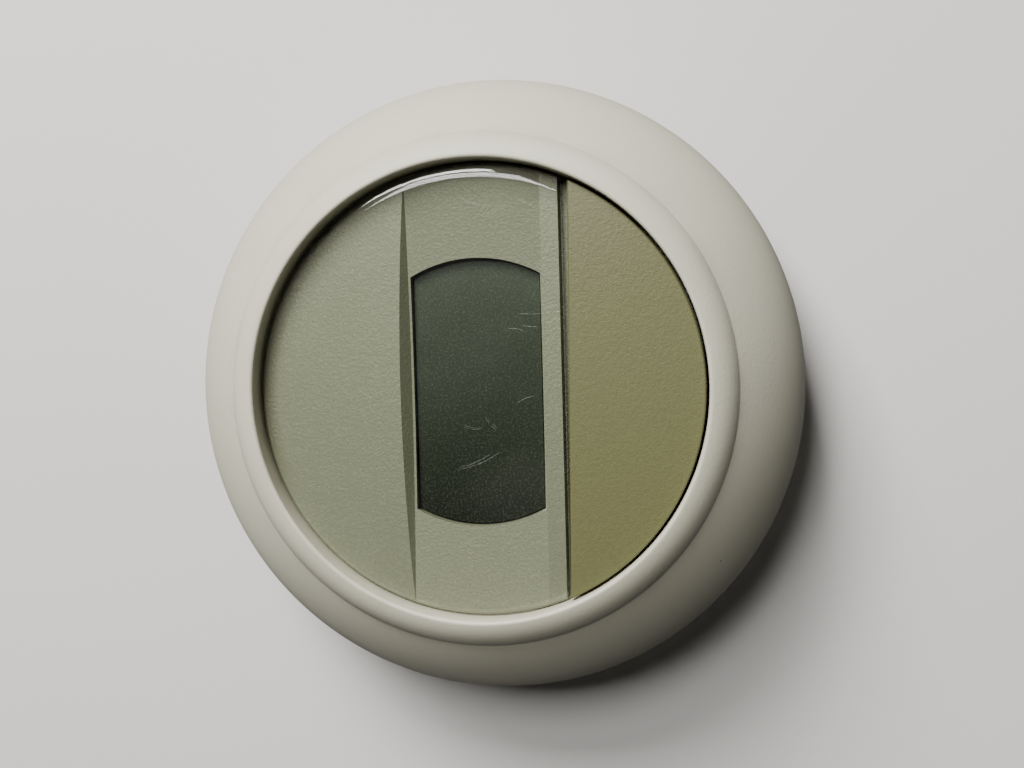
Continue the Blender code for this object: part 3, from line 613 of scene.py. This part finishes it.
def turned(name, profile):
    """Draw (radius, height) points one after another, close them and spin them about the Y axis."""
    start_clean()
    bpy.ops.mesh.primitive_plane_add(size=MM)
    piece = settle(name)
    edit()
    everything()
    bpy.ops.mesh.merge(type="CENTER")
    here = (0.0, 0.0)
    for number, (radius, height) in enumerate(profile):
        step = (radius - here[0], -(height - here[1]), 0.0)
        if number == 0:
            bpy.ops.transform.translate(value=step)
        else:
            bpy.ops.mesh.extrude_vertices_move(TRANSFORM_OT_translate={"value": step})
        here = (radius, height)
    leave()
    last = len(piece.data.vertices) - 1
    for vertex in piece.data.vertices:
        vertex.select = vertex.index in (0, last)
    edit()
    if profile[0][0] > 0:
        bpy.ops.mesh.edge_face_add()
    everything()
    bpy.ops.mesh.spin(steps=ROUND_STEPS, angle=2 * math.pi, center=(0, 0, 0), axis=(0, 1, 0))
    everything()
    bpy.ops.mesh.remove_doubles(threshold=SAME_POINT)
    bpy.ops.mesh.normals_make_consistent(inside=False)
    leave()
    return piece


def cut_disc(name, radius, x, up, low, high, cuts):
    """A thick disc about (x, up), cut straight: each cut gives its height and its outward normal."""
    start_clean()
    bpy.ops.mesh.primitive_circle_add(vertices=ROUND_STEPS, radius=radius, fill_type="NGON",
                                      location=(x, -high, up), rotation=(QUARTER, 0, 0))
    piece = settle(name)
    edit()
    for height, outward in cuts:
        everything()
        bpy.ops.mesh.bisect(plane_co=(0, 0, height), plane_no=outward, clear_outer=True)
    everything()
    bpy.ops.mesh.extrude_region_move(TRANSFORM_OT_translate={"value": (0, high - low, 0)})
    everything()
    bpy.ops.mesh.normals_make_consistent(inside=False)
    leave()
    return piece


def window_slab(name, sizes, margin, low, high):
    """A slab with the outline of the window: a disc with both sides cut straight."""
    reach = sizes.window_half_height - margin
    cuts = [(sizes.window_up + side * reach, (0, 0, side)) for side in (-1, 1)]
    return cut_disc(name, sizes.window_radius - margin, sizes.window_across, sizes.window_up,
                    low, high, cuts)


def arc(radius, height, size, start, end, steps):
    """Profile points on an arc about (radius, height), with angles in degrees."""
    angles = [math.radians(start + (end - start) * i / steps) for i in range(steps + 1)]
    return [(radius + size * math.cos(a), height + size * math.sin(a)) for a in angles]


def finish_piece(piece, material, body, slot, *replaced):
    """Give a piece its finish and its body, and hide the nodes that it stands for."""
    piece.data.materials.clear()
    piece.data.materials.append(material)
    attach(piece, body)
    if replaced:
        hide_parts(*replaced)


def copy_of(node, name, rounding, segments):
    """A merged copy of a node of the frame, with its sharp edges rounded."""
    source = frame["nodes"][node]
    start_clean()
    source.select_set(True)
    bpy.context.view_layer.objects.active = source
    bpy.ops.object.duplicate()
    piece = bpy.context.object
    piece.name = name
    bpy.ops.object.parent_clear(type="CLEAR_KEEP_TRANSFORM")
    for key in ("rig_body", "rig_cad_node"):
        if key in piece:
            del piece[key]
    edit()
    everything()
    bpy.ops.mesh.remove_doubles(threshold=SAME_POINT)
    bpy.ops.mesh.dissolve_limited(angle_limit=math.radians(0.5))
    leave()
    soften(piece, rounding, segments)
    return piece


def give(material, *nodes):
    """Give frame nodes a finish, in the slots that they have."""
    for node in nodes:
        item = frame["nodes"][node]
        for slot in item.material_slots:
            slot.material = material
        if not item.material_slots:
            item.data.materials.append(material)


# Operators: one for each piece or group of like pieces

class THERMOSTAT_OT_dial(bpy.types.Operator):
    """Add the turning dial: a hollow dome with a bead round its opening"""

    bl_idname = "thermostat.dial"
    bl_label = "Dial"

    dome_steps = 40
    bead_start = math.radians(16.4)     # of the bead's rounded top, from the axis
    bead_end = math.radians(65)
    bead_steps = 18
    fillet_steps = 6
    hem_edge = 0.45 * MM                # rounding of the back edge
    sharp = math.radians(40)
    sleeve_wall = 1.6 * MM
    above_gear = 2.2 * MM               # from the gear's front to the foot of the sleeve

    def execute(self, context):
        sizes = context.scene.thermostat_sizes
        radius = radius_of("dial_ring")
        sleeve = sizes.opening_radius + self.sleeve_wall
        sleeve_foot = height_of("dial_gear") + self.above_gear
        dome = self.dome_fall(sizes, radius)
        inner = self.inside(dome[3:-3], sizes.dial_wall)
        profile = self.bead(sizes, height_of("dial_ring"))
        profile += self.crease_fillet(profile[-2], profile[-1], dome[1], dome[2])
        profile += dome[2:]
        profile += self.hem(sizes, radius, 8)[:-1]
        profile += self.rounded_hem(sizes, radius)
        profile += self.hem(sizes, radius - sizes.dial_wall, 6)[-2::-1]
        profile += inner[::-1]
        profile += [(sleeve, inner[0][1]), (sleeve, sleeve_foot), (sizes.opening_radius, sleeve_foot)]
        piece = turned("dial_shell", profile)
        bpy.ops.object.shade_smooth_by_angle(angle=self.sharp)
        finish = dial_finish(chosen("dial"), sizes.crease_radius, sizes.opening_radius)
        finish_piece(piece, finish, "dial", "dial_plastic", "dial_ring")
        return {"FINISHED"}

    def dome_fall(self, sizes, radius):
        """Profile points of the dome, from the crease down to the widest line."""
        points = []
        width = radius - sizes.crease_radius
        for i in range(self.dome_steps + 1):
            share = (1 - i / self.dome_steps) ** 2
            rise = (sizes.crease_height - sizes.widest_height) * share ** sizes.dome_fullness
            points.append((radius - width * share, sizes.widest_height + rise))
        return points

    def inside(self, points, wall):
        """The same line, set in by the wall at right angles."""
        inner = []
        for before, after in zip(points, points[1:]):
            across, rise = after[0] - before[0], after[1] - before[1]
            length = math.hypot(across, rise)
            middle = ((before[0] + after[0]) / 2, (before[1] + after[1]) / 2)
            inner.append((middle[0] + rise / length * wall, middle[1] - across / length * wall))
        return inner

    def bead(self, sizes, top):
        """From the rounded edge of the opening over the ridge and down to the crease."""
        edge = sizes.edge_radius
        curve = sizes.bead_curve
        start = self.bead_start
        middle = sizes.opening_radius + edge * (1 + math.sin(start)) - curve * math.sin(start)
        centre = top - edge * (1 - math.cos(start)) - curve * math.cos(start)
        points = arc(sizes.opening_radius + edge, top - edge, edge, 180, 76, 8)
        for i in range(1, self.bead_steps + 1):
            angle = start + (self.bead_end - start) * i / self.bead_steps
            points.append((middle + curve * math.sin(angle), centre + curve * math.cos(angle)))
        return points

    def crease_fillet(self, before, start, end, after):
        """A small hollow curve that leads the bead into the dome."""
        slope_in = (start[1] - before[1]) / (start[0] - before[0])
        slope_out = (after[1] - end[1]) / (after[0] - end[0])
        corner = (end[1] - start[1] + slope_in * start[0] - slope_out * end[0]) / (slope_in - slope_out)
        middle = (corner, start[1] + slope_in * (corner - start[0]))
        points = []
        for i in range(1, self.fillet_steps + 1):
            t = i / self.fillet_steps
            points.append(tuple((1 - t) ** 2 * a + 2 * t * (1 - t) * m + t ** 2 * b
                                for a, m, b in zip(start, middle, end)))
        return points

    def hem(self, sizes, radius, steps):
        """From below the widest line down to the back edge, drawn in a little."""
        drop = sizes.widest_height - depth_of("dial_ring")
        return [(radius - sizes.hem_inset * (i / steps) ** 2, sizes.widest_height - drop * i / steps)
                for i in range(1, steps + 1)]

    def rounded_hem(self, sizes, radius):
        """The back edge, with both corners rounded."""
        size = self.hem_edge
        outer = radius - sizes.hem_inset
        inner = outer - sizes.dial_wall
        middle = depth_of("dial_ring") + size
        return (arc(outer - size, middle, size, 0, -90, 5)
                + arc(inner + size, middle, size, -90, -180, 5))


class THERMOSTAT_OT_face(bpy.types.Operator):
    """Add the face behind the lens: a cap with a hollowed band, a window and a skirt"""

    bl_idname = "thermostat.face"
    bl_label = "Face"

    margin = 0.65 * MM          # how much wider than the plain lens
    wall = 1.6 * MM
    flange = 1.2 * MM
    above_gear = 0.5 * MM
    edge = 0.4 * MM
    band_margin = 0.3 * MM      # from the window's straight sides to the steps of the band
    groove_middle = 0.95 * MM   # below the lower edge of the plain lens
    groove_width = 1.3 * MM
    groove_depth = 2.1 * MM
    button_hole = 2.3 * MM
    clip_hole = (4.0 * MM, 2.2 * MM)

    def execute(self, context):
        sizes = context.scene.thermostat_sizes
        radius = radius_of("clear_lens") + self.margin
        top = height_of("front_bezel")
        flange_radius = radius_of("front_bezel")
        flange_low = height_of("dial_gear") + self.above_gear
        flange_high = flange_low + self.flange
        under = top - FACE_THICKNESS
        inner = radius - self.wall
        piece = turned("face", [
            (0, top), *arc(radius - self.edge, top - self.edge, self.edge, 90, 0, 4),
            (radius, flange_high), (flange_radius, flange_high), (flange_radius, flange_low),
            (inner, flange_low), (inner, under), (0, under)])
        carve(piece, self.band_cutter(sizes, top))
        carve(piece, window_slab("window_cutter", sizes, 0.0, under - MM, top + MM))
        groove_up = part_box("clear_lens")[0].z - self.groove_middle
        carve(piece, block("groove", 0, groove_up, top - self.groove_depth, top + MM, 60 * MM,
                           self.groove_width))
        self.cut_lower_holes(piece, under, top)
        soften(piece, 0.22 * MM, 3, 24)
        finish_piece(piece, face_finish(chosen("face")), "module", "face_plastic", "front_bezel")
        return {"FINISHED"}

    def band_cutter(self, sizes, top):
        """A very large drum lying across the face, so that the band is deepest at the window."""
        low = sizes.window_up - sizes.window_half_height - self.band_margin
        high = sizes.window_up + sizes.window_half_height + self.band_margin
        drum = (sizes.band_reach ** 2 + sizes.band_depth ** 2) / (2 * sizes.band_depth)
        axis = top - sizes.band_depth + drum
        start_clean()
        bpy.ops.mesh.primitive_cylinder_add(vertices=1200, radius=drum, depth=high - low,
                                            location=(0, -axis, (low + high) / 2))
        cutter = settle("band_cutter")
        rise = 4 * sizes.band_depth
        edit("FACE")
        bpy.ops.mesh.select_all(action="DESELECT")
        leave()
        for face in cutter.data.polygons:
            face.select = face.normal.z > 0.9
        edit("FACE")
        bpy.ops.mesh.extrude_region_move(
            TRANSFORM_OT_translate={"value": (0, 0, sizes.step_slope * rise / sizes.band_depth)})
        shrink = (drum - rise) / drum
        bpy.ops.transform.resize(value=(shrink, shrink, 1), center_override=(0, -axis, high))
        leave()
        return cutter

    def cut_lower_holes(self, piece, under, top):
        """Holes for the set-up button and for the clips of the segment cover."""
        low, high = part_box("set_button")
        middle = (low + high) / 2
        carve(piece, rod("button_hole", middle.x, middle.z, under - MM, top + MM, self.button_hole))
        for x in CLIPS_ACROSS:
            carve(piece, block("clip_hole", x, CLIPS_UP, under - MM, top + MM, *self.clip_hole))


class THERMOSTAT_OT_lens(bpy.types.Operator):
    """Add the clear lens: a disc cut straight along the segment cover, with a rounded rim"""

    bl_idname = "thermostat.lens"
    bl_label = "Lens"

    rim_steps = 12
    below_plain = 0.85 * MM     # from the plain lens's straight edge to this one's
    edge = 0.5 * MM

    def execute(self, context):
        sizes = context.scene.thermostat_sizes
        low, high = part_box("clear_lens")
        top, under = -low.y, -high.y
        radius = high.x + sizes.lens_growth
        chord = low.z - self.below_plain
        rim = []
        for i in range(self.rim_steps + 1):
            angle = QUARTER * i / self.rim_steps
            rim.append((radius - sizes.lens_rim * (1 - math.sin(angle)),
                        top - sizes.lens_fall * (1 - math.cos(angle))))
        piece = turned("lens", [(0, top), *rim, (radius, under), (0, under)])
        take(piece)
        edit()
        everything()
        bpy.ops.mesh.bisect(plane_co=(0, 0, chord), plane_no=(0, 0, 1), use_fill=True, clear_inner=True)
        leave()
        back = under + self.edge / 10
        round_edges(piece, lambda place: abs(place.z - chord) < ON_PLANE and -place.y > back,
                    self.edge, 3)
        even_shading(piece)
        finish_piece(piece, lens_finish(), "module", "clear_plastic", "clear_lens")
        return {"FINISHED"}


class THERMOSTAT_OT_segment(bpy.types.Operator):
    """Add the segment cover: a plate with a rounded rim and two clips behind it"""

    bl_idname = "thermostat.segment"
    bl_label = "Segment Cover"

    above_face = 0.3 * MM
    below_plain = 1.05 * MM     # from the plain cover's straight edge to this one's
    lean = 0.0138               # the straight edge falls this much to the right
    edge = 0.4 * MM

    def execute(self, context):
        sizes = context.scene.thermostat_sizes
        low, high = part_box("segment_cover")
        top, foot = -low.y, -high.y
        under = height_of("front_bezel") + self.above_face
        piece = cut_disc("segment_plate", radius_of("clear_lens") + sizes.lens_growth, 0, 0, under, top,
                         [(high.z - self.below_plain, (self.lean, 0, 1))])
        round_edges(piece, lambda place: abs(place.y + top) < ON_PLANE, self.edge, 5, clamp=True)
        for x in CLIPS_ACROSS:
            combine(piece, self.clip(x, foot, under), "UNION")
        even_shading(piece)
        finish_piece(piece, segment_finish(chosen("segment")), "segment_cover", "beige_plastic",
                     "segment_cover")
        return {"FINISHED"}

    def clip(self, x, foot, under):
        """A flat leg, drawn in towards its foot, that reaches into the plate."""
        leg = block("clip", x, CLIPS_UP, foot, under + self.edge, 3.0 * MM, 1.2 * MM)
        round_edges(leg, lambda place: abs(place.y + foot) < ON_PLANE, 0.35 * MM, 3)
        return leg


class THERMOSTAT_OT_display(bpy.types.Operator):
    """Add the display glass with a dark film over it, and finish what lies behind"""

    bl_idname = "thermostat.display"
    bl_label = "Display"

    film_margin = 0.20 * MM     # from the film to the sides of the window
    film_height = 1.05 * MM

    def execute(self, context):
        sizes = context.scene.thermostat_sizes
        finish = display_finish(chosen("display"))
        piece = copy_of("display_glass", "display_pane", 0.12 * MM, 3)
        finish_piece(piece, finish, "module", "display", "display_glass")
        glass_top = height_of("display_glass")
        film = window_slab("display_film", sizes, self.film_margin, glass_top,
                           glass_top + self.film_height)
        soften(film, 0.06 * MM, 2)
        finish_piece(film, finish, "module", "display")
        give(finish, "display_rear_glass")
        give(moulded_finish("milky_plastic", linear(225, 225, 220), 0.35), "light_guide")
        give(moulded_finish("strip_rubber", linear(120, 60, 55), 0.7), "upper_contact_strip",
             "lower_contact_strip")
        return {"FINISHED"}


class THERMOSTAT_OT_button(bpy.types.Operator):
    """Add the set-up button that the segment cover hides: a stem with a dished, rounded end"""

    bl_idname = "thermostat.button"
    bl_label = "Set-up Button"

    stem = 1.8 * MM
    edge = 0.25 * MM
    below_face = 0.3 * MM       # from the underside of the face to the flange
    flange_thickness = 0.7 * MM
    dish = 3.45 * MM            # radius of the hollow in its end
    foot_edge = 0.2 * MM

    def execute(self, context):
        low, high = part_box("set_button")
        middle = (low + high) / 2
        stem, edge = self.stem, self.edge
        flange = (high.x - low.x) / 2
        top, foot = -low.y, -high.y
        seat = height_of("front_bezel") - FACE_THICKNESS - self.below_face
        flange_low = seat - self.flange_thickness
        piece = turned("button", [
            (0, top - edge), *arc(0, top + 3.2 * MM, self.dish, -82, -68, 4),
            *arc(stem - edge, top - edge, edge, 90, 0, 4),
            (stem, seat), (flange, seat), (flange, flange_low), (stem, flange_low),
            (stem, foot + self.foot_edge), (stem - self.foot_edge, foot), (0, foot)])
        take(piece)
        edit()
        everything()
        bpy.ops.transform.translate(value=(middle.x, 0, middle.z))
        leave()
        bpy.ops.object.shade_smooth_by_angle(angle=SHARP)
        finish = moulded_finish("grey_plastic", linear(150, 150, 144), 0.45)
        finish_piece(piece, finish, "set_button", "grey_plastic", "set_button")
        give(moulded_finish("switch_plastic", linear(46, 46, 48), 0.5), "button_switch")
        return {"FINISHED"}


class THERMOSTAT_OT_wall_plate(bpy.types.Operator):
    """Add the wall plate with rounded edges, pin marks and an arrow on its back"""

    bl_idname = "thermostat.wall_plate"
    bl_label = "Wall Plate"

    def execute(self, context):
        piece = copy_of("wall_plate", "wall_plate_body", 0.25 * MM, 2)
        self.cut_back(piece)
        finish = moulded_finish("white_plastic", chosen("case"), 0.48, 0.4 * MM, 0.014 * MM)
        finish_piece(piece, finish, "wall_plate", "white_plastic", "wall_plate")
        return {"FINISHED"}

    def cut_back(self, piece):
        """Shallow marks on the back: four ejector pins, and an arrow that points up."""
        circle, mark, mark_depth = 23 * MM, 2.2 * MM, 0.25 * MM
        for degrees in (40, 140, 215, 325):
            x = circle * math.cos(math.radians(degrees))
            up = circle * math.sin(math.radians(degrees))
            carve(piece, rod("pin_mark", x, up, -MM, mark_depth, mark))
        start_clean()
        bpy.ops.mesh.primitive_cylinder_add(
            vertices=3, radius=2.6 * MM, depth=2.5 * MM,
            location=(0, 0.9 * MM, 26.5 * MM), rotation=(QUARTER, 0, math.pi))
        carve(piece, settle("arrow"))
        even_shading(piece)


class THERMOSTAT_OT_rear_case(bpy.types.Operator):
    """Add the rear case with rounded edges and vent slots through its floor"""

    bl_idname = "thermostat.rear_case"
    bl_label = "Rear Case"

    def execute(self, context):
        piece = copy_of("rear_case", "rear_case_body", 0.2 * MM, 2)
        self.cut_vents(piece)
        finish = moulded_finish("case_plastic", chosen("case"), 0.5, 0.4 * MM, 0.014 * MM)
        finish_piece(piece, finish, "module", "white_plastic", "rear_case")
        give(finish, "display_carrier")
        return {"FINISHED"}

    vent_spacing = 3.4 * MM
    vent_up = 33.3 * MM         # of the middle vent; those beside it lie nearer the centre
    vent_drop = 0.55 * MM
    vent_size = (1.6 * MM, 4.6 * MM)

    def cut_vents(self, piece):
        """Rows of slots through the floor, at the top and the bottom, for air to reach the sensor."""
        low = depth_of("rear_case")
        for side in (-1, 1):
            for number in range(-3, 4):
                x = number * self.vent_spacing
                up = side * (self.vent_up - abs(number) * self.vent_drop)
                vent = block("vent", x, up, low - MM, low + 2.4 * MM, *self.vent_size)
                round_edges(vent, lambda place: True, 0.6 * MM, 3)
                carve(piece, vent)
        even_shading(piece)


class THERMOSTAT_OT_terminals(bpy.types.Operator):
    """Add the terminal block, its clamp cages and screws, and the contacts"""

    bl_idname = "thermostat.terminals"
    bl_label = "Terminals"

    def execute(self, context):
        plastic = moulded_finish("terminal_plastic", linear(70, 72, 72), 0.45)
        steel = metal_finish("steel", linear(196, 196, 192), 0.28, linear(120, 112, 100))
        brass = metal_finish("brass", linear(205, 172, 105), 0.26, linear(128, 98, 60))
        # node, name, rounding in millimetres and its segments, finish, body, slot
        copies = [("terminal_block", "terminal_body", 0.2, 2, plastic, "wall_plate", "dark_plastic")]
        for n in (1, 2):
            screw, cage = f"clamp_screw_{n}", f"clamp_cage_{n}"
            blade, pin = f"contact_blade_{n}", f"contact_pin_{n}"
            copies += [(f"terminal_screw_{n}", f"{screw}_body", 0.1, 2, steel, screw, "steel"),
                       (f"terminal_cage_{n}", f"{cage}_body", 0.1, 2, brass, cage, "brass"),
                       (blade, f"{blade}_strip", 0.05, 2, brass, "wall_plate", "brass"),
                       (pin, f"{pin}_rod", 0.25, 3, brass, "module", "brass")]
        copies += [(f"case_screw_{n}", f"case_screw_{n}_body", 0.1, 2, steel, "module", "steel")
                   for n in (1, 2, 3)]
        for node, name, rounding, segments, finish, body, slot in copies:
            finish_piece(copy_of(node, name, rounding * MM, segments), finish, body, slot, node)
        give(steel, "dial_screw_1", "dial_screw_2", "dial_screw_3")
        return {"FINISHED"}


class THERMOSTAT_OT_works(bpy.types.Operator):
    """Finish the board, what stands on it, and the two gears"""

    bl_idname = "thermostat.works"
    bl_label = "Board and Gears"

    mouldings = (
        ("chip_black", (38, 38, 40), 0.4, "microcontroller", "line_interface"),
        ("capacitor_sleeve", (38, 52, 108), 0.3, "capacitor"),
        ("sensor_black", (40, 38, 36), 0.35, "temperature_sensor"),
        ("encoder_plastic", (52, 52, 54), 0.45, "encoder_body"),
        ("gear_plastic", (228, 226, 216), 0.4, "dial_gear", "encoder_pinion"),
    )

    def execute(self, context):
        give(board_finish(), "circuit_board")
        for name, colour, roughness, *nodes in self.mouldings:
            give(moulded_finish(name, linear(*colour), roughness), *nodes)
        return {"FINISHED"}


class THERMOSTAT_OT_stage(bpy.types.Operator):
    """Add the pale backdrop, the studio lights, the surroundings and the camera"""

    bl_idname = "thermostat.stage"
    bl_label = "Stage"

    lights = (
        # name, place, width and height, power, colour, whether matt surfaces are lit by it
        ("key", (0.50, -0.45, 0.22), (0.30, 0.30), 9.0, (1.0, 0.985, 0.955), True),
        ("second", (0.25, -0.60, 0.13), (0.20, 0.20), 2.35, (1.0, 0.99, 0.97), True),
        ("window_glint", (0.50, -0.26, -0.02), (0.035, 0.26), 0.7, (1.0, 1.0, 1.0), False),
        ("lamp_glint", (0.48, -0.30, -0.12), (0.05, 0.05), 0.8, (1.0, 1.0, 1.0), False),
        ("back", (-0.35, 0.55, 0.35), (0.4, 0.4), 4.0, (1.0, 1.0, 1.0), True),
    )
    lights_aim = Vector((0, -10 * MM, 0))
    surroundings_colour = (0.80, 0.81, 0.82, 1.0)
    surroundings_strength = 0.018
    camera_place = (6.7 * MM, -168.8 * MM, -27.4 * MM)
    camera_forward = Vector((-0.0412, 0.9864, 0.1590))
    camera_upward = Vector((0.998, 0.045, -0.020))
    camera_sensor = 36.0
    camera_lens = 40.43

    def execute(self, context):
        start_clean()
        bpy.ops.mesh.primitive_plane_add(size=3, location=(0, 0.1 * MM, 0), rotation=(QUARTER, 0, 0))
        wall = settle("backdrop")
        wall.data.materials.append(paper_finish(chosen("paper")))
        for row in self.lights:
            self.light(*row)
        self.surroundings(context)
        self.camera(context)
        return {"FINISHED"}

    def light(self, name, place, size, power, colour, on_matt):
        """A soft light that looks at the middle of the object."""
        start_clean()
        bpy.ops.object.light_add(type="AREA", location=place)
        lamp = bpy.context.object
        lamp.name = name
        lamp.data.shape = "RECTANGLE"
        lamp.data.size, lamp.data.size_y = size
        lamp.data.energy = power
        lamp.data.color = colour
        lamp.visible_diffuse = on_matt
        lamp.rotation_euler = (self.lights_aim - Vector(place)).to_track_quat("-Z", "Y").to_euler()

    def surroundings(self, context):
        world = bpy.data.worlds.new("surroundings")
        world.use_nodes = True
        background = world.node_tree.nodes["Background"]
        background.inputs[0].default_value = self.surroundings_colour
        background.inputs[1].default_value = self.surroundings_strength
        context.scene.world = world

    def camera(self, context):
        """The camera looks from a little below the axis, with the thermostat's top to the left."""
        start_clean()
        bpy.ops.object.camera_add(location=self.camera_place)
        camera = bpy.context.object
        camera.name = "camera"
        forward = self.camera_forward.normalized()
        across = forward.cross(self.camera_upward).normalized()
        level = across.cross(forward).normalized()
        turn = Matrix((across, level, -forward)).transposed()
        camera.rotation_euler = turn.to_euler()
        camera.data.sensor_width = self.camera_sensor
        camera.data.lens = self.camera_lens
        camera.data.clip_start = 0.005
        context.scene.camera = camera


class THERMOSTAT_PT_panel(bpy.types.Panel):
    """Lists the pieces in the sidebar."""

    bl_label = "Thermostat"
    bl_idname = "THERMOSTAT_PT_panel"
    bl_space_type = "VIEW_3D"
    bl_region_type = "UI"
    bl_category = "Thermostat"

    def draw(self, context):
        for operator in OPERATORS:
            self.layout.operator(operator.bl_idname)
        for group in (context.scene.thermostat_sizes, context.scene.thermostat_colours):
            for name in group.bl_rna.properties.keys():
                if name not in ("rna_type", "name"):
                    self.layout.prop(group, name)


OPERATORS = (
    THERMOSTAT_OT_dial, THERMOSTAT_OT_face, THERMOSTAT_OT_lens, THERMOSTAT_OT_segment,
    THERMOSTAT_OT_display, THERMOSTAT_OT_button, THERMOSTAT_OT_wall_plate, THERMOSTAT_OT_rear_case,
    THERMOSTAT_OT_terminals, THERMOSTAT_OT_works, THERMOSTAT_OT_stage,
)
CLASSES = (ThermostatSizes, ThermostatColours, *OPERATORS, THERMOSTAT_PT_panel)


def register():
    for one in CLASSES:
        bpy.utils.register_class(one)
    bpy.types.Scene.thermostat_sizes = bpy.props.PointerProperty(type=ThermostatSizes)
    bpy.types.Scene.thermostat_colours = bpy.props.PointerProperty(type=ThermostatColours)


def unregister():
    del bpy.types.Scene.thermostat_sizes
    del bpy.types.Scene.thermostat_colours
    for one in reversed(CLASSES):
        bpy.utils.unregister_class(one)


def main():
    register()
    for operator in OPERATORS:
        getattr(bpy.ops.thermostat, operator.bl_idname.partition(".")[2])()
    start_clean()


if __name__ == "__main__":
    main()
